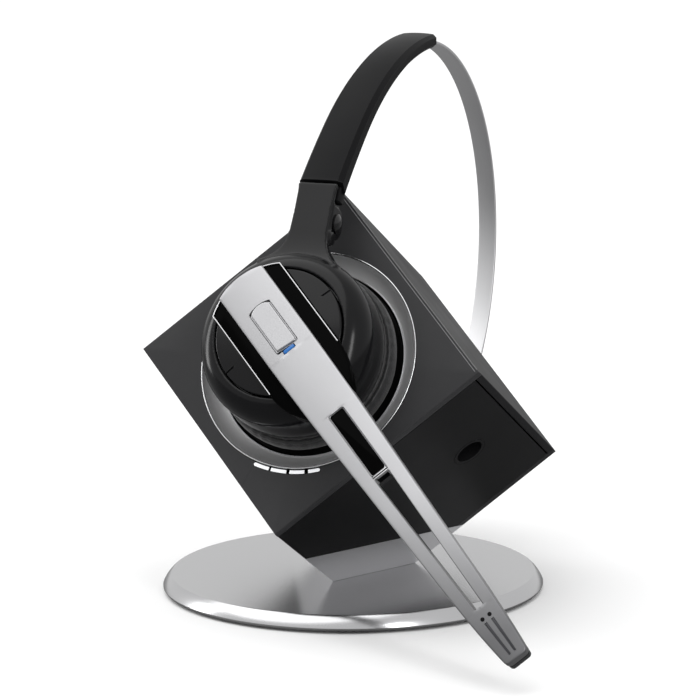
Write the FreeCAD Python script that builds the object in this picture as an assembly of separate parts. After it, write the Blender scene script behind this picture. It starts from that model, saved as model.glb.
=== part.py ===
"""Cordless office headset docked on its charging base, one STEP file per real piece.

Lengths are millimetres. World frame: front is -Y, right is +X, up is +Z, and the origin is the centre
of the foot pad on the table. The charging base is a cube whose front face is a diamond that leans back.
"Face frame" below means: x to the right, y up the leaning face, z straight out of it, origin at its centre.
"Boom frame" is the face frame turned so that x runs along the microphone boom towards its tip.
"Diamond frame" is the face frame turned so that x and y run along the sides of the diamond.
"""

import FreeCAD
import Part
import math
import os

Vector = FreeCAD.Vector

# ---- driving dimensions -------------------------------------------------------------------------
CUBE_SIDE = 67.0
CUBE_CENTRE_Z = 50.9
FACE_RAKE = 29.2            # how far the front face's normal is raised, degrees
WALL = 2.0
PANEL_THICK = 2.2
SEAM = 0.3                  # gap between housing covers
CUT_Z = 14.9                # height where the black housing ends and the metal wedge begins

DISC_R = 51.0
DISC_TOP_R = 48.7
DISC_BOTTOM_Z = 0.8
DISC_TOP_Z = 4.6
FOOT_R = 46.0
FOOT_HOLE_R = 3.4
BALLAST_R = 42.9
BALLAST_POCKET_R = 43.0
BALLAST_TOP_Z = 2.4
BOLT_SPOTS = ((-6.0, 8.0), (6.0, 8.0), (0.0, -5.0))
BOLT_R = 1.5
BOLT_HOLE_R = 1.6
BOLT_HEAD_R = 2.8
BOLT_TOP_Z = 10.0

DOCK_RIM_R = 29.7
DOCK_DISH_R = 29.25
WELL_R = 25.0
WELL_LIP_Z = -3.4
WELL_FLOOR_Z = -4.6
BOSS_R = 5.0
BOSS_TOP_Z = -1.3
CONTACT_X = 3.0

LED_INNER_R = 29.95
LED_OUTER_R = 30.95
LED_ARCS = ((-108.2, -99.6), (-98.6, -90.2), (-88.7, -80.8), (-79.0, -72.8))

SIDE_RECESS_R = 3.8
SIDE_RECESS_ALONG = 17.05   # along the diamond's lower right side, from its middle
SIDE_RECESS_DEPTH = 6.0

SOCKET_Y = -8.0
SOCKET_DEPTH = 12.0
PHONE_SOCKET_X = -17.0
HANDSET_SOCKET_X = 1.0
POWER_X = 16.5
USB_X = 28.0
AUX_X = -32.0
AUX_BORE_R = 1.8
AUX_BODY_R = 3.0
POWER_BODY_R = 4.5
POWER_HOLE_R = 3.1
POWER_PIN_R = 0.95
USB_HALF_WIDTH = 4.2
USB_HALF_HEIGHT = 2.1
SOCKET_BLOCKS = {"phone": (PHONE_SOCKET_X, 7.1, 5.3), "handset": (HANDSET_SOCKET_X, 6.1, 5.3)}
HOLE_GAP = 0.05             # gap between a rear socket and its hole in the cover
REAR_SCREW_SPOTS = ((0.0, 38.5), (-36.0, 2.5), (36.0, 2.5))
REAR_SCREW_R = 1.2
REAR_SCREW_HEAD_R = 2.2
VENT_COUNT = 7
VENT_PITCH = 2.4
TRAY_HALF = 21.0
TRAY_BACK_Z = -34.0
TRAY_FRONT_Z = -32.4

CUSHION_R = 24.4
CUSHION_HOLE_R = 9.5
CUSHION_BACK_Z = -4.2
CUSHION_FRONT_Z = 4.8
SHELL_R = 22.9
SHELL_NECK_R = 17.4
RING_INNER_R = 17.45
RING_OUTER_R = 23.3
RING_CREST_Z = 22.0
HUB_R = 17.1
SPINDLE_R = 5.0
SPINDLE_FIT = 0.05

FORK_HALF_WIDTH = 5.45
FORK_TOP_Z = 15.3
FORK_BACK_Z = 14.0
FORK_TOP_Y = 43.7
PIN_Y = 34.0
PIN_Z = 10.6
PIN_R = 1.5
PIN_FIT = 0.05
PIN_HEAD_R = 2.6
PIN_END_X = 6.45
CHEEK_INNER_X = 4.4
CHEEK_OUTER_X = 5.35
CHEEK_R = 4.4
LOBE_R = 1.9
LOBE_END_X = 6.0

BOOM_ANGLE = -45.0
CHANNEL_HALF_WIDTH = 11.1
CHANNEL_ARC_R = 18.3
CHANNEL_END_X = 26.5
CHANNEL_END_HALF_WIDTH = 6.3
CHANNEL_STRAIGHT_X = 12.8    # where the channel's straight sides end
CHANNEL_TRIM_WIDTH = 0.45
CHANNEL_FLOOR_Z = 23.5
ARM_TOP_Z = 25.5
ARM_BACK_R = 18.05
ARM_TIP_X = 111.2
ARM_TIP_DROP = 2.9
ARM_BEND_X = 55.0
ARM_HUB_BOTTOM_Z = 24.15      # underside over the hub
ARM_BOTTOM_Z = 22.2          # underside beyond the channel
ARM_DEEP_X = 26.9            # where the arm becomes deeper
ARM_WIDTHS = ((0.0, 7.0), (20.0, 6.85), (44.0, 6.2), (60.0, 5.65), (74.0, 5.2), (91.0, 4.75), (101.0, 4.1),
              (110.2, 3.35))
BACK_COVER_X = 27.2
BACK_COVER_TOP_Z = 22.1
BACK_COVER_BOTTOM_Z = 20.2
FLEX_GROOVE_Z = 21.6
MIC_X = 98.3
MIC_SPOTS_Y = (-1.2, 0.9)
BUTTON_START_X = -7.75
BUTTON_END_X = 6.7
BUTTON_HALF_WIDTH = 2.9
BUTTON_CORNER_R = 0.6
BUTTON_BULGE = 0.8
BUTTON_BOTTOM_Z = 24.3
BUTTON_TOP_Z = 25.9
STATUS_END_X = 8.0
STATUS_HALF_WIDTH = 1.65
WINDOW_START_X = 29.6
WINDOW_END_X = 51.4
WINDOW_FLOOR_Z = 24.2
WINDOW_HALF_WIDTHS = (2.3, 2.25)
SLOT_END_X = 95.2
SLOT_HALF_WIDTHS = (2.2, 1.2)
ARM_BEND_R = ((ARM_TIP_X - ARM_BEND_X) ** 2 + ARM_TIP_DROP ** 2) / (2.0 * ARM_TIP_DROP)

SLEEVE_ROOT_CENTRE = (-33.17, -201.26)   # the sleeve's nearly straight lower part: centre (y, z)
SLEEVE_ROOT_R = 229.47
SLEEVE_START_ANGLE = 70.3
SLEEVE_TURN_ANGLE = 64.98    # where the tighter upper curve begins
SLEEVE_R = 91.78
SLEEVE_END_ANGLE = 28.64
SLEEVE_HALF_WIDTHS = (6.1, 5.2)
SLEEVE_THICKNESSES = (5.9, 3.6)
SLEEVE_CROWN = 0.35
SLEEVE_CHAMFER = 1.25
STRIP_CENTRE = (49.82, -57.39)
STRIP_R = 59.01
STRIP_THICK = 0.9
STRIP_WIDTH = 5.2
STRIP_JOIN_ANGLE = 16.0      # where the slight bend outside the sleeve meets the round band
STRIP_BEND_R = 60.0
STRIP_END_ANGLE = 128.0
STRIP_INSERT = 17.0
PAD_PIN_Z = 3.4
PAD_PIN_R = 1.0

# ---- frames -------------------------------------------------------------------------------------
HALF = CUBE_SIDE / 2.0
FACE_CENTRE = Vector(0, -HALF * math.cos(math.radians(FACE_RAKE)),
                     CUBE_CENTRE_Z + HALF * math.sin(math.radians(FACE_RAKE)))
FACE_FRAME = FreeCAD.Placement(FACE_CENTRE, FreeCAD.Rotation(Vector(1, 0, 0), 90.0 - FACE_RAKE))
BOOM_FRAME = FACE_FRAME.multiply(FreeCAD.Placement(Vector(), FreeCAD.Rotation(Vector(0, 0, 1), BOOM_ANGLE)))
DIAMOND_FRAME = FACE_FRAME.multiply(FreeCAD.Placement(Vector(), FreeCAD.Rotation(Vector(0, 0, 1), 45.0)))


def placed(shape, frame):
    """Return a copy of a shape moved from a local frame into the world."""
    copy = shape.copy()
    copy.transformShape(frame.Matrix, True, False)
    return copy


def save(name, shape, frame=None):
    """Write one node's STEP file, moved out of its local frame first."""
    result = shape if frame is None else placed(shape, frame)
    result.exportStep("parts/" + name + ".step")


# ---- small geometry helpers ---------------------------------------------------------------------
def box(x0, x1, y0, y1, z0, z1):
    """Return the box between two corners."""
    return Part.makeBox(x1 - x0, y1 - y0, z1 - z0, Vector(x0, y0, z0))


def rod(radius, start, end):
    """Return a cylinder between two points."""
    start, end = Vector(*start), Vector(*end)
    return Part.makeCylinder(radius, (end - start).Length, start, end - start)


def path(steps):
    """Return the edges of an outline: a pair is a straight step, a pair of pairs is an arc via the first."""
    edges = []
    here = Vector(*steps[0])
    for step in steps[1:]:
        if isinstance(step[0], tuple):
            middle, end = Vector(*step[0]), Vector(*step[1])
            edges.append(Part.Arc(here, middle, end).toShape())
        else:
            end = Vector(*step)
            edges.append(Part.makeLine(here, end))
        here = end
    return edges


def swapped(step, order):
    """Turn an outline step's (a, b) into 3-D with a and b on the two axes named in order."""
    if isinstance(step[0], tuple):
        return tuple(swapped(point, order) for point in step)
    point = [0.0, 0.0, 0.0]
    point["xyz".index(order[0])] = step[0]
    point["xyz".index(order[1])] = step[1]
    return tuple(point)


def outline_face(steps, order):
    """Return a closed flat face from outline steps in the plane of two named axes."""
    steps = [swapped(step, order) for step in steps]
    last = steps[-1][1] if isinstance(steps[-1][0], tuple) else steps[-1]
    if (Vector(*last) - Vector(*steps[0])).Length > 1e-6:
        steps.append(steps[0])
    return Part.Face(Part.Wire(path(steps)))


def spun(steps):
    """Return the solid made by turning an (r, z) outline about the local z axis."""
    return outline_face(steps, "xz").revolve(Vector(), Vector(0, 0, 1), 360)


def slab(steps, z0, z1):
    """Return an (x, y) outline pulled from z0 to z1."""
    face = outline_face(steps, "xy")
    face.translate(Vector(0, 0, z0))
    return face.extrude(Vector(0, 0, z1 - z0))


def side_slab(steps, half_width):
    """Return a (y, z) outline pulled along x to both sides."""
    face = outline_face(steps, "yz")
    face.translate(Vector(-half_width, 0, 0))
    return face.extrude(Vector(2 * half_width, 0, 0))


def polar(radius, degrees):
    """Return the (x, y) of a point at a radius and an angle."""
    return (radius * math.cos(math.radians(degrees)), radius * math.sin(math.radians(degrees)))


def arc_slot(inner, outer, start, end):
    """Return the outline of a curved slot about the origin."""
    middle = (start + end) / 2.0
    return [polar(inner, start), polar(outer, start), (polar(outer, middle), polar(outer, end)),
            polar(inner, end), (polar(inner, middle), polar(inner, start))]


def rounded_edges(solid, radius, keep):
    """Round the edges of a solid for which keep(edge) is true."""
    edges = [edge for edge in solid.Edges if keep(edge)]
    return solid.makeFillet(radius, edges)


def joined(shapes):
    """Fuse a list of shapes into one."""
    first = shapes[0]
    return first.fuse(shapes[1:]).removeSplitter() if len(shapes) > 1 else first


def together(shapes):
    """Group loose solids that form one node."""
    return Part.makeCompound(shapes)


def above_cut():
    """Return the half space above the metal wedge."""
    return Part.makeBox(300, 300, 300, Vector(-150, -150, CUT_Z))


# ---- foot, disc and wedge (world frame) ---------------------------------------------------------
def make_foot_pad():
    """Return the thin rubber foot under the disc, with holes for the bolt heads."""
    pad = rod(FOOT_R, (0, 0, 0), (0, 0, DISC_BOTTOM_Z))
    for x, y in BOLT_SPOTS:
        pad = pad.cut(rod(FOOT_HOLE_R, (x, y, -1), (x, y, 2)))
    return pad


def make_base_disc():
    """Return the turned metal disc: flat top, bevelled rim, pocket for the ballast plate."""
    disc = spun([(0, DISC_BOTTOM_Z), (50.3, DISC_BOTTOM_Z), (DISC_R, 1.5), (DISC_R, 1.9),
                 ((50.3, 3.6), (DISC_TOP_R, DISC_TOP_Z)), (0, DISC_TOP_Z)])
    disc = disc.cut(rod(BALLAST_POCKET_R, (0, 0, DISC_BOTTOM_Z - 1), (0, 0, BALLAST_TOP_Z)))
    for x, y in BOLT_SPOTS:
        disc = disc.cut(rod(BOLT_HOLE_R, (x, y, 0), (x, y, 6)))
    return disc


def make_ballast_plate():
    """Return the steel plate glued in the disc's underside, with clearance for the bolt heads."""
    plate = rod(BALLAST_R, (0, 0, DISC_BOTTOM_Z), (0, 0, BALLAST_TOP_Z))
    for x, y in BOLT_SPOTS:
        plate = plate.cut(rod(BOLT_HEAD_R + 0.8, (x, y, 0), (x, y, 6)))
    return plate


def make_pedestal_bolts():
    """Return the three bolts that pull the wedge down on the disc."""
    bolts = []
    for x, y in BOLT_SPOTS:
        head = rod(BOLT_HEAD_R, (x, y, DISC_BOTTOM_Z + 0.1), (x, y, BALLAST_TOP_Z))
        head = head.cut(rod(1.2, (x, y, 0), (x, y, BALLAST_TOP_Z - 0.7)))
        bolts.append(head.fuse(rod(BOLT_R, (x, y, BALLAST_TOP_Z - 0.1), (x, y, BOLT_TOP_Z))))
    return together(bolts)


def cube_solid():
    """Return the full cube of the housing in the world frame."""
    return placed(box(-HALF, HALF, -HALF, HALF, -CUBE_SIDE, 0), DIAMOND_FRAME)


def make_pedestal_wedge():
    """Return the metal wedge: the cube's lowest corner between the disc and the housing."""
    wedge = cube_solid().common(Part.makeBox(300, 300, CUT_Z - DISC_TOP_Z, Vector(-150, -150, DISC_TOP_Z)))
    for x, y in BOLT_SPOTS:
        wedge = wedge.cut(rod(BOLT_R, (x, y, 0), (x, y, BOLT_TOP_Z)))
    return wedge


# ---- housing (diamond frame) --------------------------------------------------------------------
def led_slots(inner, outer, z0, z1):
    """Return the four indicator segments under the dock ring, as a list of solids (face frame)."""
    return [slab(arc_slot(inner, outer, start, end), z0, z1) for start, end in LED_ARCS]


def make_front_panel():
    """Return the square front panel with the dock hole and the indicator slots (face frame)."""
    panel = box(-HALF, HALF, -HALF, HALF, -PANEL_THICK, 0)
    panel = rounded_edges(panel, 0.45, lambda edge: abs(edge.CenterOfMass.z) < 1e-6)
    panel.rotate(Vector(), Vector(0, 0, 1), 45)
    panel = panel.cut(rod(DOCK_RIM_R, (0, 0, -5), (0, 0, 5)))
    for slot in led_slots(DOCK_RIM_R - 1.0, LED_OUTER_R, -5, 5):
        panel = panel.cut(slot)
    return panel


def make_upper_cover():
    """Return the two upper walls of the housing, one angled piece."""
    rim = HALF - WALL
    front = -PANEL_THICK - SEAM
    outer = box(-HALF + WALL + SEAM, HALF, -HALF, HALF, -CUBE_SIDE + WALL, front)
    outer = outer.cut(box(-HALF, -HALF + WALL + SEAM, -HALF, rim, -100, 10))
    cover = outer.cut(box(-100, rim, -100, rim, -100, 10))
    return cover


def make_lower_cover():
    """Return the two lower walls, cut flat where they meet the metal wedge, with the round side recess."""
    rim = HALF - WALL
    front = -PANEL_THICK - SEAM
    outer = box(-HALF, rim - SEAM, -HALF, rim - SEAM, -CUBE_SIDE + WALL, front)
    cover = outer.cut(box(-rim, 100, -rim, 100, -100, 10))
    spot = (SIDE_RECESS_ALONG, -HALF)
    cover = cover.cut(rod(SIDE_RECESS_R + 0.8, (spot[0], spot[1] - 1, -HALF), (spot[0], spot[1] + 5, -HALF)))
    return placed(cover, DIAMOND_FRAME).common(above_cut())


def make_recess_cup():
    """Return the blind round cup in the lower right wall."""
    x, y = SIDE_RECESS_ALONG, -HALF
    cup = rod(SIDE_RECESS_R + 0.8, (x, y, -HALF), (x, y + SIDE_RECESS_DEPTH + 1.0, -HALF))
    return cup.cut(rod(SIDE_RECESS_R, (x, y - 1, -HALF), (x, y + SIDE_RECESS_DEPTH, -HALF)))


def socket_blank(x, half_w, half_h, depth):
    """Return the outer block of a rear socket (face frame)."""
    return box(x - half_w, x + half_w, SOCKET_Y - half_h, SOCKET_Y + half_h, -CUBE_SIDE, -CUBE_SIDE + depth)


def make_rear_cover():
    """Return the rear cover with the socket holes, cut flat above the wedge (world frame)."""
    cover = box(-HALF, HALF, -HALF, HALF, -CUBE_SIDE, -CUBE_SIDE + WALL)
    cover.rotate(Vector(), Vector(0, 0, 1), 45)
    for x, half_w, half_h in SOCKET_BLOCKS.values():
        cover = cover.cut(socket_blank(x, half_w + HOLE_GAP, half_h + HOLE_GAP, 10))
    cover = cover.cut(rod(POWER_BODY_R + HOLE_GAP, (POWER_X, SOCKET_Y, -70), (POWER_X, SOCKET_Y, -60)))
    cover = cover.cut(socket_blank(USB_X, USB_HALF_WIDTH + HOLE_GAP, USB_HALF_HEIGHT + HOLE_GAP, 10))
    cover = cover.cut(rod(AUX_BODY_R + HOLE_GAP, (AUX_X, SOCKET_Y, -70), (AUX_X, SOCKET_Y, -60)))
    for x, y in REAR_SCREW_SPOTS:
        cover = cover.cut(rod(REAR_SCREW_R + 0.1, (x, y, -70), (x, y, -60)))
        cover = cover.cut(rod(REAR_SCREW_HEAD_R + 0.2, (x, y, -CUBE_SIDE - 1), (x, y, -CUBE_SIDE + 1.0)))
    for step in range(VENT_COUNT):
        y = 16.0 + VENT_PITCH * step
        cover = cover.cut(box(-9.0 + step, 9.0 - step, y, y + 1.0, -70, -60))
    return placed(cover, FACE_FRAME).common(above_cut())


def make_rear_screws():
    """Return the three identical screws of the rear cover (face frame)."""
    screws = []
    for x, y in REAR_SCREW_SPOTS:
        head = rod(REAR_SCREW_HEAD_R, (x, y, -CUBE_SIDE + 0.1), (x, y, -CUBE_SIDE + 1.0))
        head = head.cut(rod(0.9, (x, y, -CUBE_SIDE - 0.5), (x, y, -CUBE_SIDE + 0.6)))
        screws.append(head.fuse(rod(REAR_SCREW_R, (x, y, -CUBE_SIDE + 0.9), (x, y, -CUBE_SIDE + 9.0))))
    return together(screws)


def make_chassis_tray():
    """Return the inner tray that carries the boards, with three screw posts (face frame)."""
    tray = box(-TRAY_HALF, TRAY_HALF, -TRAY_HALF, TRAY_HALF, TRAY_BACK_Z, TRAY_FRONT_Z)
    tray.rotate(Vector(), Vector(0, 0, 1), 45)
    tray = tray.cut(box(-100, 100, -100, -TRAY_HALF, -100, 10))
    solids = [tray]
    for x, y in REAR_SCREW_SPOTS:
        solids.append(rod(3.2, (x, y, -CUBE_SIDE + WALL), (x, y, TRAY_FRONT_Z)))
        if x == 0.0:
            solids.append(box(-1.5, 1.5, TRAY_HALF, y, TRAY_BACK_Z, TRAY_FRONT_Z))
        else:
            inner, outer = sorted((math.copysign(TRAY_HALF - 1.0, x), x))
            solids.append(box(inner, outer, y - 1.5, y + 1.5, TRAY_BACK_Z, TRAY_FRONT_Z))
    body = joined(solids)
    for x, y in REAR_SCREW_SPOTS:
        body = body.cut(rod(REAR_SCREW_R, (x, y, -70), (x, y, -57.0)))
    return body


def make_main_board():
    """Return the main circuit board with its processor and shield can (face frame)."""
    board = box(-38.0, 34.0, SOCKET_Y + 5.6, SOCKET_Y + 7.2, -64.0, -50.0)
    upright = box(-16.0, 16.0, -13.0, 19.0, -38.0, -36.4)
    chip = box(-5.0, 5.0, 2.0, 12.0, -39.6, -38.0)
    foot = box(-13.0, -3.0, -11.0, -4.0, -39.0, -38.0)
    return together([board, upright.fuse(chip).fuse(foot)])


def make_radio_module():
    """Return the radio module's shield can on the upright board (face frame)."""
    return box(-14.0, 14.0, 3.0, 17.0, -36.35, -34.2)


def make_antennas():
    """Return the two diversity antennas behind the upper walls (diamond frame)."""
    outer = HALF - WALL - 0.9
    inner = outer - 1.0
    first = box(inner, outer, -8.0, 20.0, -52.0, -44.0)
    second = box(-8.0, 20.0, inner, outer, -52.0, -44.0)
    return together([first, second])


def modular_socket(x, half_w, half_h, slot_half):
    """Return a modular plug socket: an open box with the keyway for the plug's latch (face frame)."""
    body = socket_blank(x, half_w, half_h, SOCKET_DEPTH + 2.0)
    room = box(x - half_w + 1.2, x + half_w - 1.2, SOCKET_Y - half_h + 1.2, SOCKET_Y + half_h - 1.2,
               -CUBE_SIDE - 1, -CUBE_SIDE + SOCKET_DEPTH)
    keyway = box(x - slot_half, x + slot_half, SOCKET_Y - half_h + 0.4, SOCKET_Y, -CUBE_SIDE - 1,
                 -CUBE_SIDE + SOCKET_DEPTH)
    return body.cut(room).cut(keyway)


def make_power_jack():
    """Return the round power inlet with its centre pin (face frame)."""
    x, y, back = POWER_X, SOCKET_Y, -CUBE_SIDE
    body = rod(POWER_BODY_R, (x, y, back), (x, y, back + SOCKET_DEPTH))
    body = body.cut(rod(POWER_HOLE_R, (x, y, back - 1), (x, y, back + 9.5)))
    return body.fuse(rod(POWER_PIN_R, (x, y, back + 1.0), (x, y, back + 10)))


def make_usb_socket():
    """Return the small data socket: a metal shell round a contact tongue (face frame)."""
    x, y, back = USB_X, SOCKET_Y, -CUBE_SIDE
    shell = socket_blank(x, USB_HALF_WIDTH, USB_HALF_HEIGHT, 9)
    w, h = USB_HALF_WIDTH - 0.4, USB_HALF_HEIGHT - 0.4
    shell = shell.cut(box(x - w, x + w, y - h, y + h, back - 1, back + 8))
    return shell.fuse(box(x - 3.0, x + 3.0, y - 0.4, y + 0.4, back + 1.0, back + 8.5))


def make_aux_jack():
    """Return the plain round jack for a busy light or switch lead (face frame)."""
    x, y, back = AUX_X, SOCKET_Y, -CUBE_SIDE
    body = rod(AUX_BODY_R, (x, y, back), (x, y, back + SOCKET_DEPTH + 2.0))
    return body.cut(rod(AUX_BORE_R, (x, y, back - 1), (x, y, back + SOCKET_DEPTH)))


# ---- dock in the front face (face frame) --------------------------------------------------------
def make_dock_ring():
    """Return the dished satin ring around the well."""
    return spun([(WELL_R + 0.4, WELL_LIP_Z), ((27.6, -2.2), (DOCK_DISH_R, 0.1)), (DOCK_DISH_R, -2.6),
                 (WELL_R + 0.4, -5.4)])


def make_dock_rim_trim():
    """Return the thin bright ring at the dock's outer edge."""
    return spun([(DOCK_DISH_R, -2.0), (DOCK_DISH_R, 0.15), ((29.5, 0.5), (DOCK_RIM_R, 0.2)),
                 (DOCK_RIM_R, -2.0)])


def make_dock_lip_trim():
    """Return the thin bright line where the dished ring drops into the well."""
    return spun([(WELL_R, -4.2), (WELL_R, -3.3), ((25.2, -3.05), (25.4, -3.3)), (25.4, -4.2)])


def make_dock_well():
    """Return the black cup that holds the ear cushion, with the raised contact boss in its middle."""
    cup = spun([(0, -6.4), (26.4, -6.4), (26.4, -5.45), (WELL_R, -5.45), (WELL_R, WELL_FLOOR_Z + 0.4),
                ((24.7, WELL_FLOOR_Z + 0.1), (24.2, WELL_FLOOR_Z)), (BOSS_R + 1.2, WELL_FLOOR_Z),
                ((BOSS_R + 0.3, WELL_FLOOR_Z + 0.4), (BOSS_R, WELL_FLOOR_Z + 1.4)),
                (BOSS_R, BOSS_TOP_Z - 0.4),
                ((BOSS_R - 0.1, BOSS_TOP_Z - 0.1), (BOSS_R - 0.4, BOSS_TOP_Z)), (0, BOSS_TOP_Z)])
    for x in (-CONTACT_X, CONTACT_X):
        cup = cup.cut(rod(0.95, (x, 0, -8), (x, 0, 5)))
    return cup


def make_dock_contacts():
    """Return the two sprung charging pins and the carrier under the well."""
    solids = [box(-4.4, 4.4, -1.5, 1.5, -7.8, -6.5)]
    for x in (-CONTACT_X, CONTACT_X):
        solids.append(rod(0.85, (x, 0, -6.6), (x, 0, -0.3)))
        solids.append(rod(0.55, (x, 0, -0.4), (x, 0, 0.2)))
    return joined(solids)


def make_dock_magnets():
    """Return the two magnets under the well floor that pull the earpiece in."""
    return together([rod(4.0, (x, 0, -9.5), (x, 0, -6.5)) for x in (-14.0, 14.0)])


def make_led_light_guides():
    """Return the four curved light guides of the indicator."""
    guides = []
    for index, (start, end) in enumerate(LED_ARCS):
        guide = slab(arc_slot(LED_INNER_R, LED_OUTER_R - 0.03, start + 0.06, end - 0.06), -4.0, 0.12)
        if index in (0, 3):
            angle = start + 0.06 if index == 0 else end - 0.06
            x, y = polar((LED_INNER_R + LED_OUTER_R) / 2.0, angle + (1.0 if index == 0 else -1.0))
            round_end = rod(0.5, (x, y, -4.0), (x, y, 0.12))
            trim_start, trim_end = (start - 1, start + 1.0) if index == 0 else (end - 1.0, end + 1)
            guide = guide.cut(slab(arc_slot(29.0, 32.0, trim_start, trim_end), -5, 1)).fuse(round_end)
        guides.append(guide)
    return together(guides)


def make_led_board():
    """Return the curved lamp board behind the light guides."""
    board = slab(arc_slot(27.8, 32.6, -112.0, -68.0), -6.4, -5.2)
    lamps = []
    for start, end in LED_ARCS:
        x, y = polar(30.45, (start + end) / 2.0)
        lamps.append(box(x - 0.8, x + 0.8, y - 0.6, y + 0.6, -5.25, -4.4))
    return joined([board] + lamps)


# ---- earpiece (face frame) ----------------------------------------------------------------------
def make_ear_cushion():
    """Return the soft ear cushion: a rounded ring."""
    back, front = CUSHION_BACK_Z, CUSHION_FRONT_Z
    middle = (back + front) / 2.0
    return spun([(21.5, front), ((23.9, front - 1.2), (CUSHION_R, middle)),
                 ((23.2, back + 0.9), (20.0, back)),
                 (12.5, back), ((10.2, back + 1.1), (CUSHION_HOLE_R, middle)), (CUSHION_HOLE_R, front)])


def make_speaker_baffle():
    """Return the plate behind the cushion, with sound holes round a middle boss that holds the contacts."""
    plate = rod(21.4, (0, 0, 4.9), (0, 0, 6.4)).fuse(rod(5.2, (0, 0, 0.6), (0, 0, 5.0))).removeSplitter()
    for radius, count in ((6.6, 12), (8.4, 16)):
        for index in range(count):
            x, y = polar(radius, 360.0 * (index + 0.5) / count)
            plate = plate.cut(rod(0.55, (x, y, 4), (x, y, 7)))
    for x in (-CONTACT_X, CONTACT_X):
        plate = plate.cut(rod(1.45, (x, 0, 0), (x, 0, 1.9)))
    return plate


def make_contact_pads():
    """Return the two gold charging pads in the baffle's boss."""
    return together([rod(1.4, (x, 0, 0.6), (x, 0, 1.8)) for x in (-CONTACT_X, CONTACT_X)])


def make_speaker_driver():
    """Return the speaker: basket rim, diaphragm and magnet in one turned shape."""
    return spun([(0, 7.4), ((3.0, 6.9), (6.0, 7.4)), ((9.0, 8.0), (12.5, 6.8)), (14.2, 6.7), (14.2, 8.2),
                 (8.2, 9.4), (8.2, 11.2), (0, 11.2)])


def make_ear_cup_shell():
    """Return the speaker housing: skirt, flange, neck and bearing plate."""
    return spun([(6.1, 17.6), (15.9, 17.6), (15.9, 7.9), (15.9, 6.5), (21.5, 6.5), (21.5, 4.9), (22.5, 4.9),
                 ((22.8, 5.1), (SHELL_R, 5.4)), (SHELL_R, 7.9), (SHELL_NECK_R, 7.9), (SHELL_NECK_R, 19.4),
                 (6.1, 19.4)])


def make_hub_bearing():
    """Return the bearing bush that the boom's spindle turns in."""
    bore = SPINDLE_R + SPINDLE_FIT
    return spun([(bore, 17.6), (6.05, 17.6), (6.05, 19.4), (bore, 19.4)])


def make_battery_cell():
    """Return the flat battery in the earpiece."""
    cell = box(-10.5, 10.5, -8.5, 8.5, 11.6, 15.8)
    return rounded_edges(cell, 1.2, lambda edge: abs(edge.tangentAt(edge.FirstParameter).z) > 0.9)


def make_headset_board():
    """Return the earpiece's round circuit board with its radio chip."""
    board = rod(15.2, (0, 0, 16.4), (0, 0, 17.2))
    return board.fuse(box(-3.5, 3.5, -12.5, -9.5, 15.4, 16.5))


def make_yoke():
    """Return the ring around the hub with the fork plate and the two hinge cheeks."""
    ring = spun([(RING_INNER_R, 7.95), (RING_INNER_R, 21.5), ((17.6, 21.9), (18.0, RING_CREST_Z)),
                 ((21.3, 20.1), (RING_OUTER_R, 15.0)), (RING_OUTER_R, 7.95)])
    side = side_slab([(19.5, 11.5), (19.5, 19.6), ((23.8, 17.1), (30.0, 15.9)),
                      (FORK_TOP_Y - 0.6, FORK_TOP_Z),
                      (FORK_TOP_Y, FORK_TOP_Z - 0.4), (FORK_TOP_Y, FORK_BACK_Z), (27.0, FORK_BACK_Z),
                      (23.0, 11.5)], 30.0)
    w = FORK_HALF_WIDTH
    top = FORK_TOP_Y
    plan = slab([(-w + 0.8, top), (w - 0.8, top), ((w - 0.2, top - 0.2), (w, top - 0.8)),
                 ((w - 0.35, 36.0), (w + 0.1, 27.5)), ((w + 1.9, 23.6), (w + 6.0, 20.2)), (8.0, 16.0),
                 (-8.0, 16.0), (-w - 6.0, 20.2), ((-w - 1.9, 23.6), (-w - 0.1, 27.5)),
                 ((-w + 0.35, 36.0), (-w, top - 0.8)), ((-w + 0.2, top - 0.2), (-w + 0.8, top))], 0, 30)
    fork = side.common(plan).cut(rod(RING_INNER_R + 0.5, (0, 0, 0), (0, 0, 30)))
    solids = [ring, fork]
    for sign in (-1, 1):
        inner, outer = sorted((sign * CHEEK_INNER_X, sign * CHEEK_OUTER_X))
        top_z = FORK_BACK_Z + 0.6
        cheek = outline_face([(PIN_Y - CHEEK_R, PIN_Z), ((PIN_Y, PIN_Z - CHEEK_R), (PIN_Y + CHEEK_R, PIN_Z)),
                              (PIN_Y + CHEEK_R, top_z), (PIN_Y - CHEEK_R, top_z)], "yz")
        cheek.translate(Vector(inner, 0, 0))
        solids.append(cheek.extrude(Vector(outer - inner, 0, 0)))
        lobe_start, lobe_end = sorted((sign * CHEEK_INNER_X, sign * LOBE_END_X))
        solids.append(rod(LOBE_R, (lobe_start, PIN_Y - 5.0, 13.0), (lobe_end, PIN_Y - 5.0, 13.0)))
    yoke = joined(solids)
    yoke = yoke.cut(rod(PIN_R, (-9, PIN_Y, PIN_Z), (9, PIN_Y, PIN_Z)))
    for angle in (45.0, -135.0):
        mark = box(17.0, 19.4, -0.2, 0.2, 21.2, 23.0)
        mark.rotate(Vector(), Vector(0, 0, 1), angle)
        yoke = yoke.cut(mark)
    return yoke


def make_hinge_pin():
    """Return the headband hinge pin with its two round heads."""
    pin = rod(PIN_R, (-5.5, PIN_Y, PIN_Z), (5.5, PIN_Y, PIN_Z))
    for sign in (-1, 1):
        start, end = sorted((sign * (CHEEK_OUTER_X + 0.01), sign * PIN_END_X))
        head = rod(PIN_HEAD_R, (start, PIN_Y, PIN_Z), (end, PIN_Y, PIN_Z))
        head = rounded_edges(head, 0.5, lambda edge: abs(abs(edge.CenterOfMass.x) - PIN_END_X) < 0.01)
        pin = pin.fuse(head)
    return pin


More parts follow.
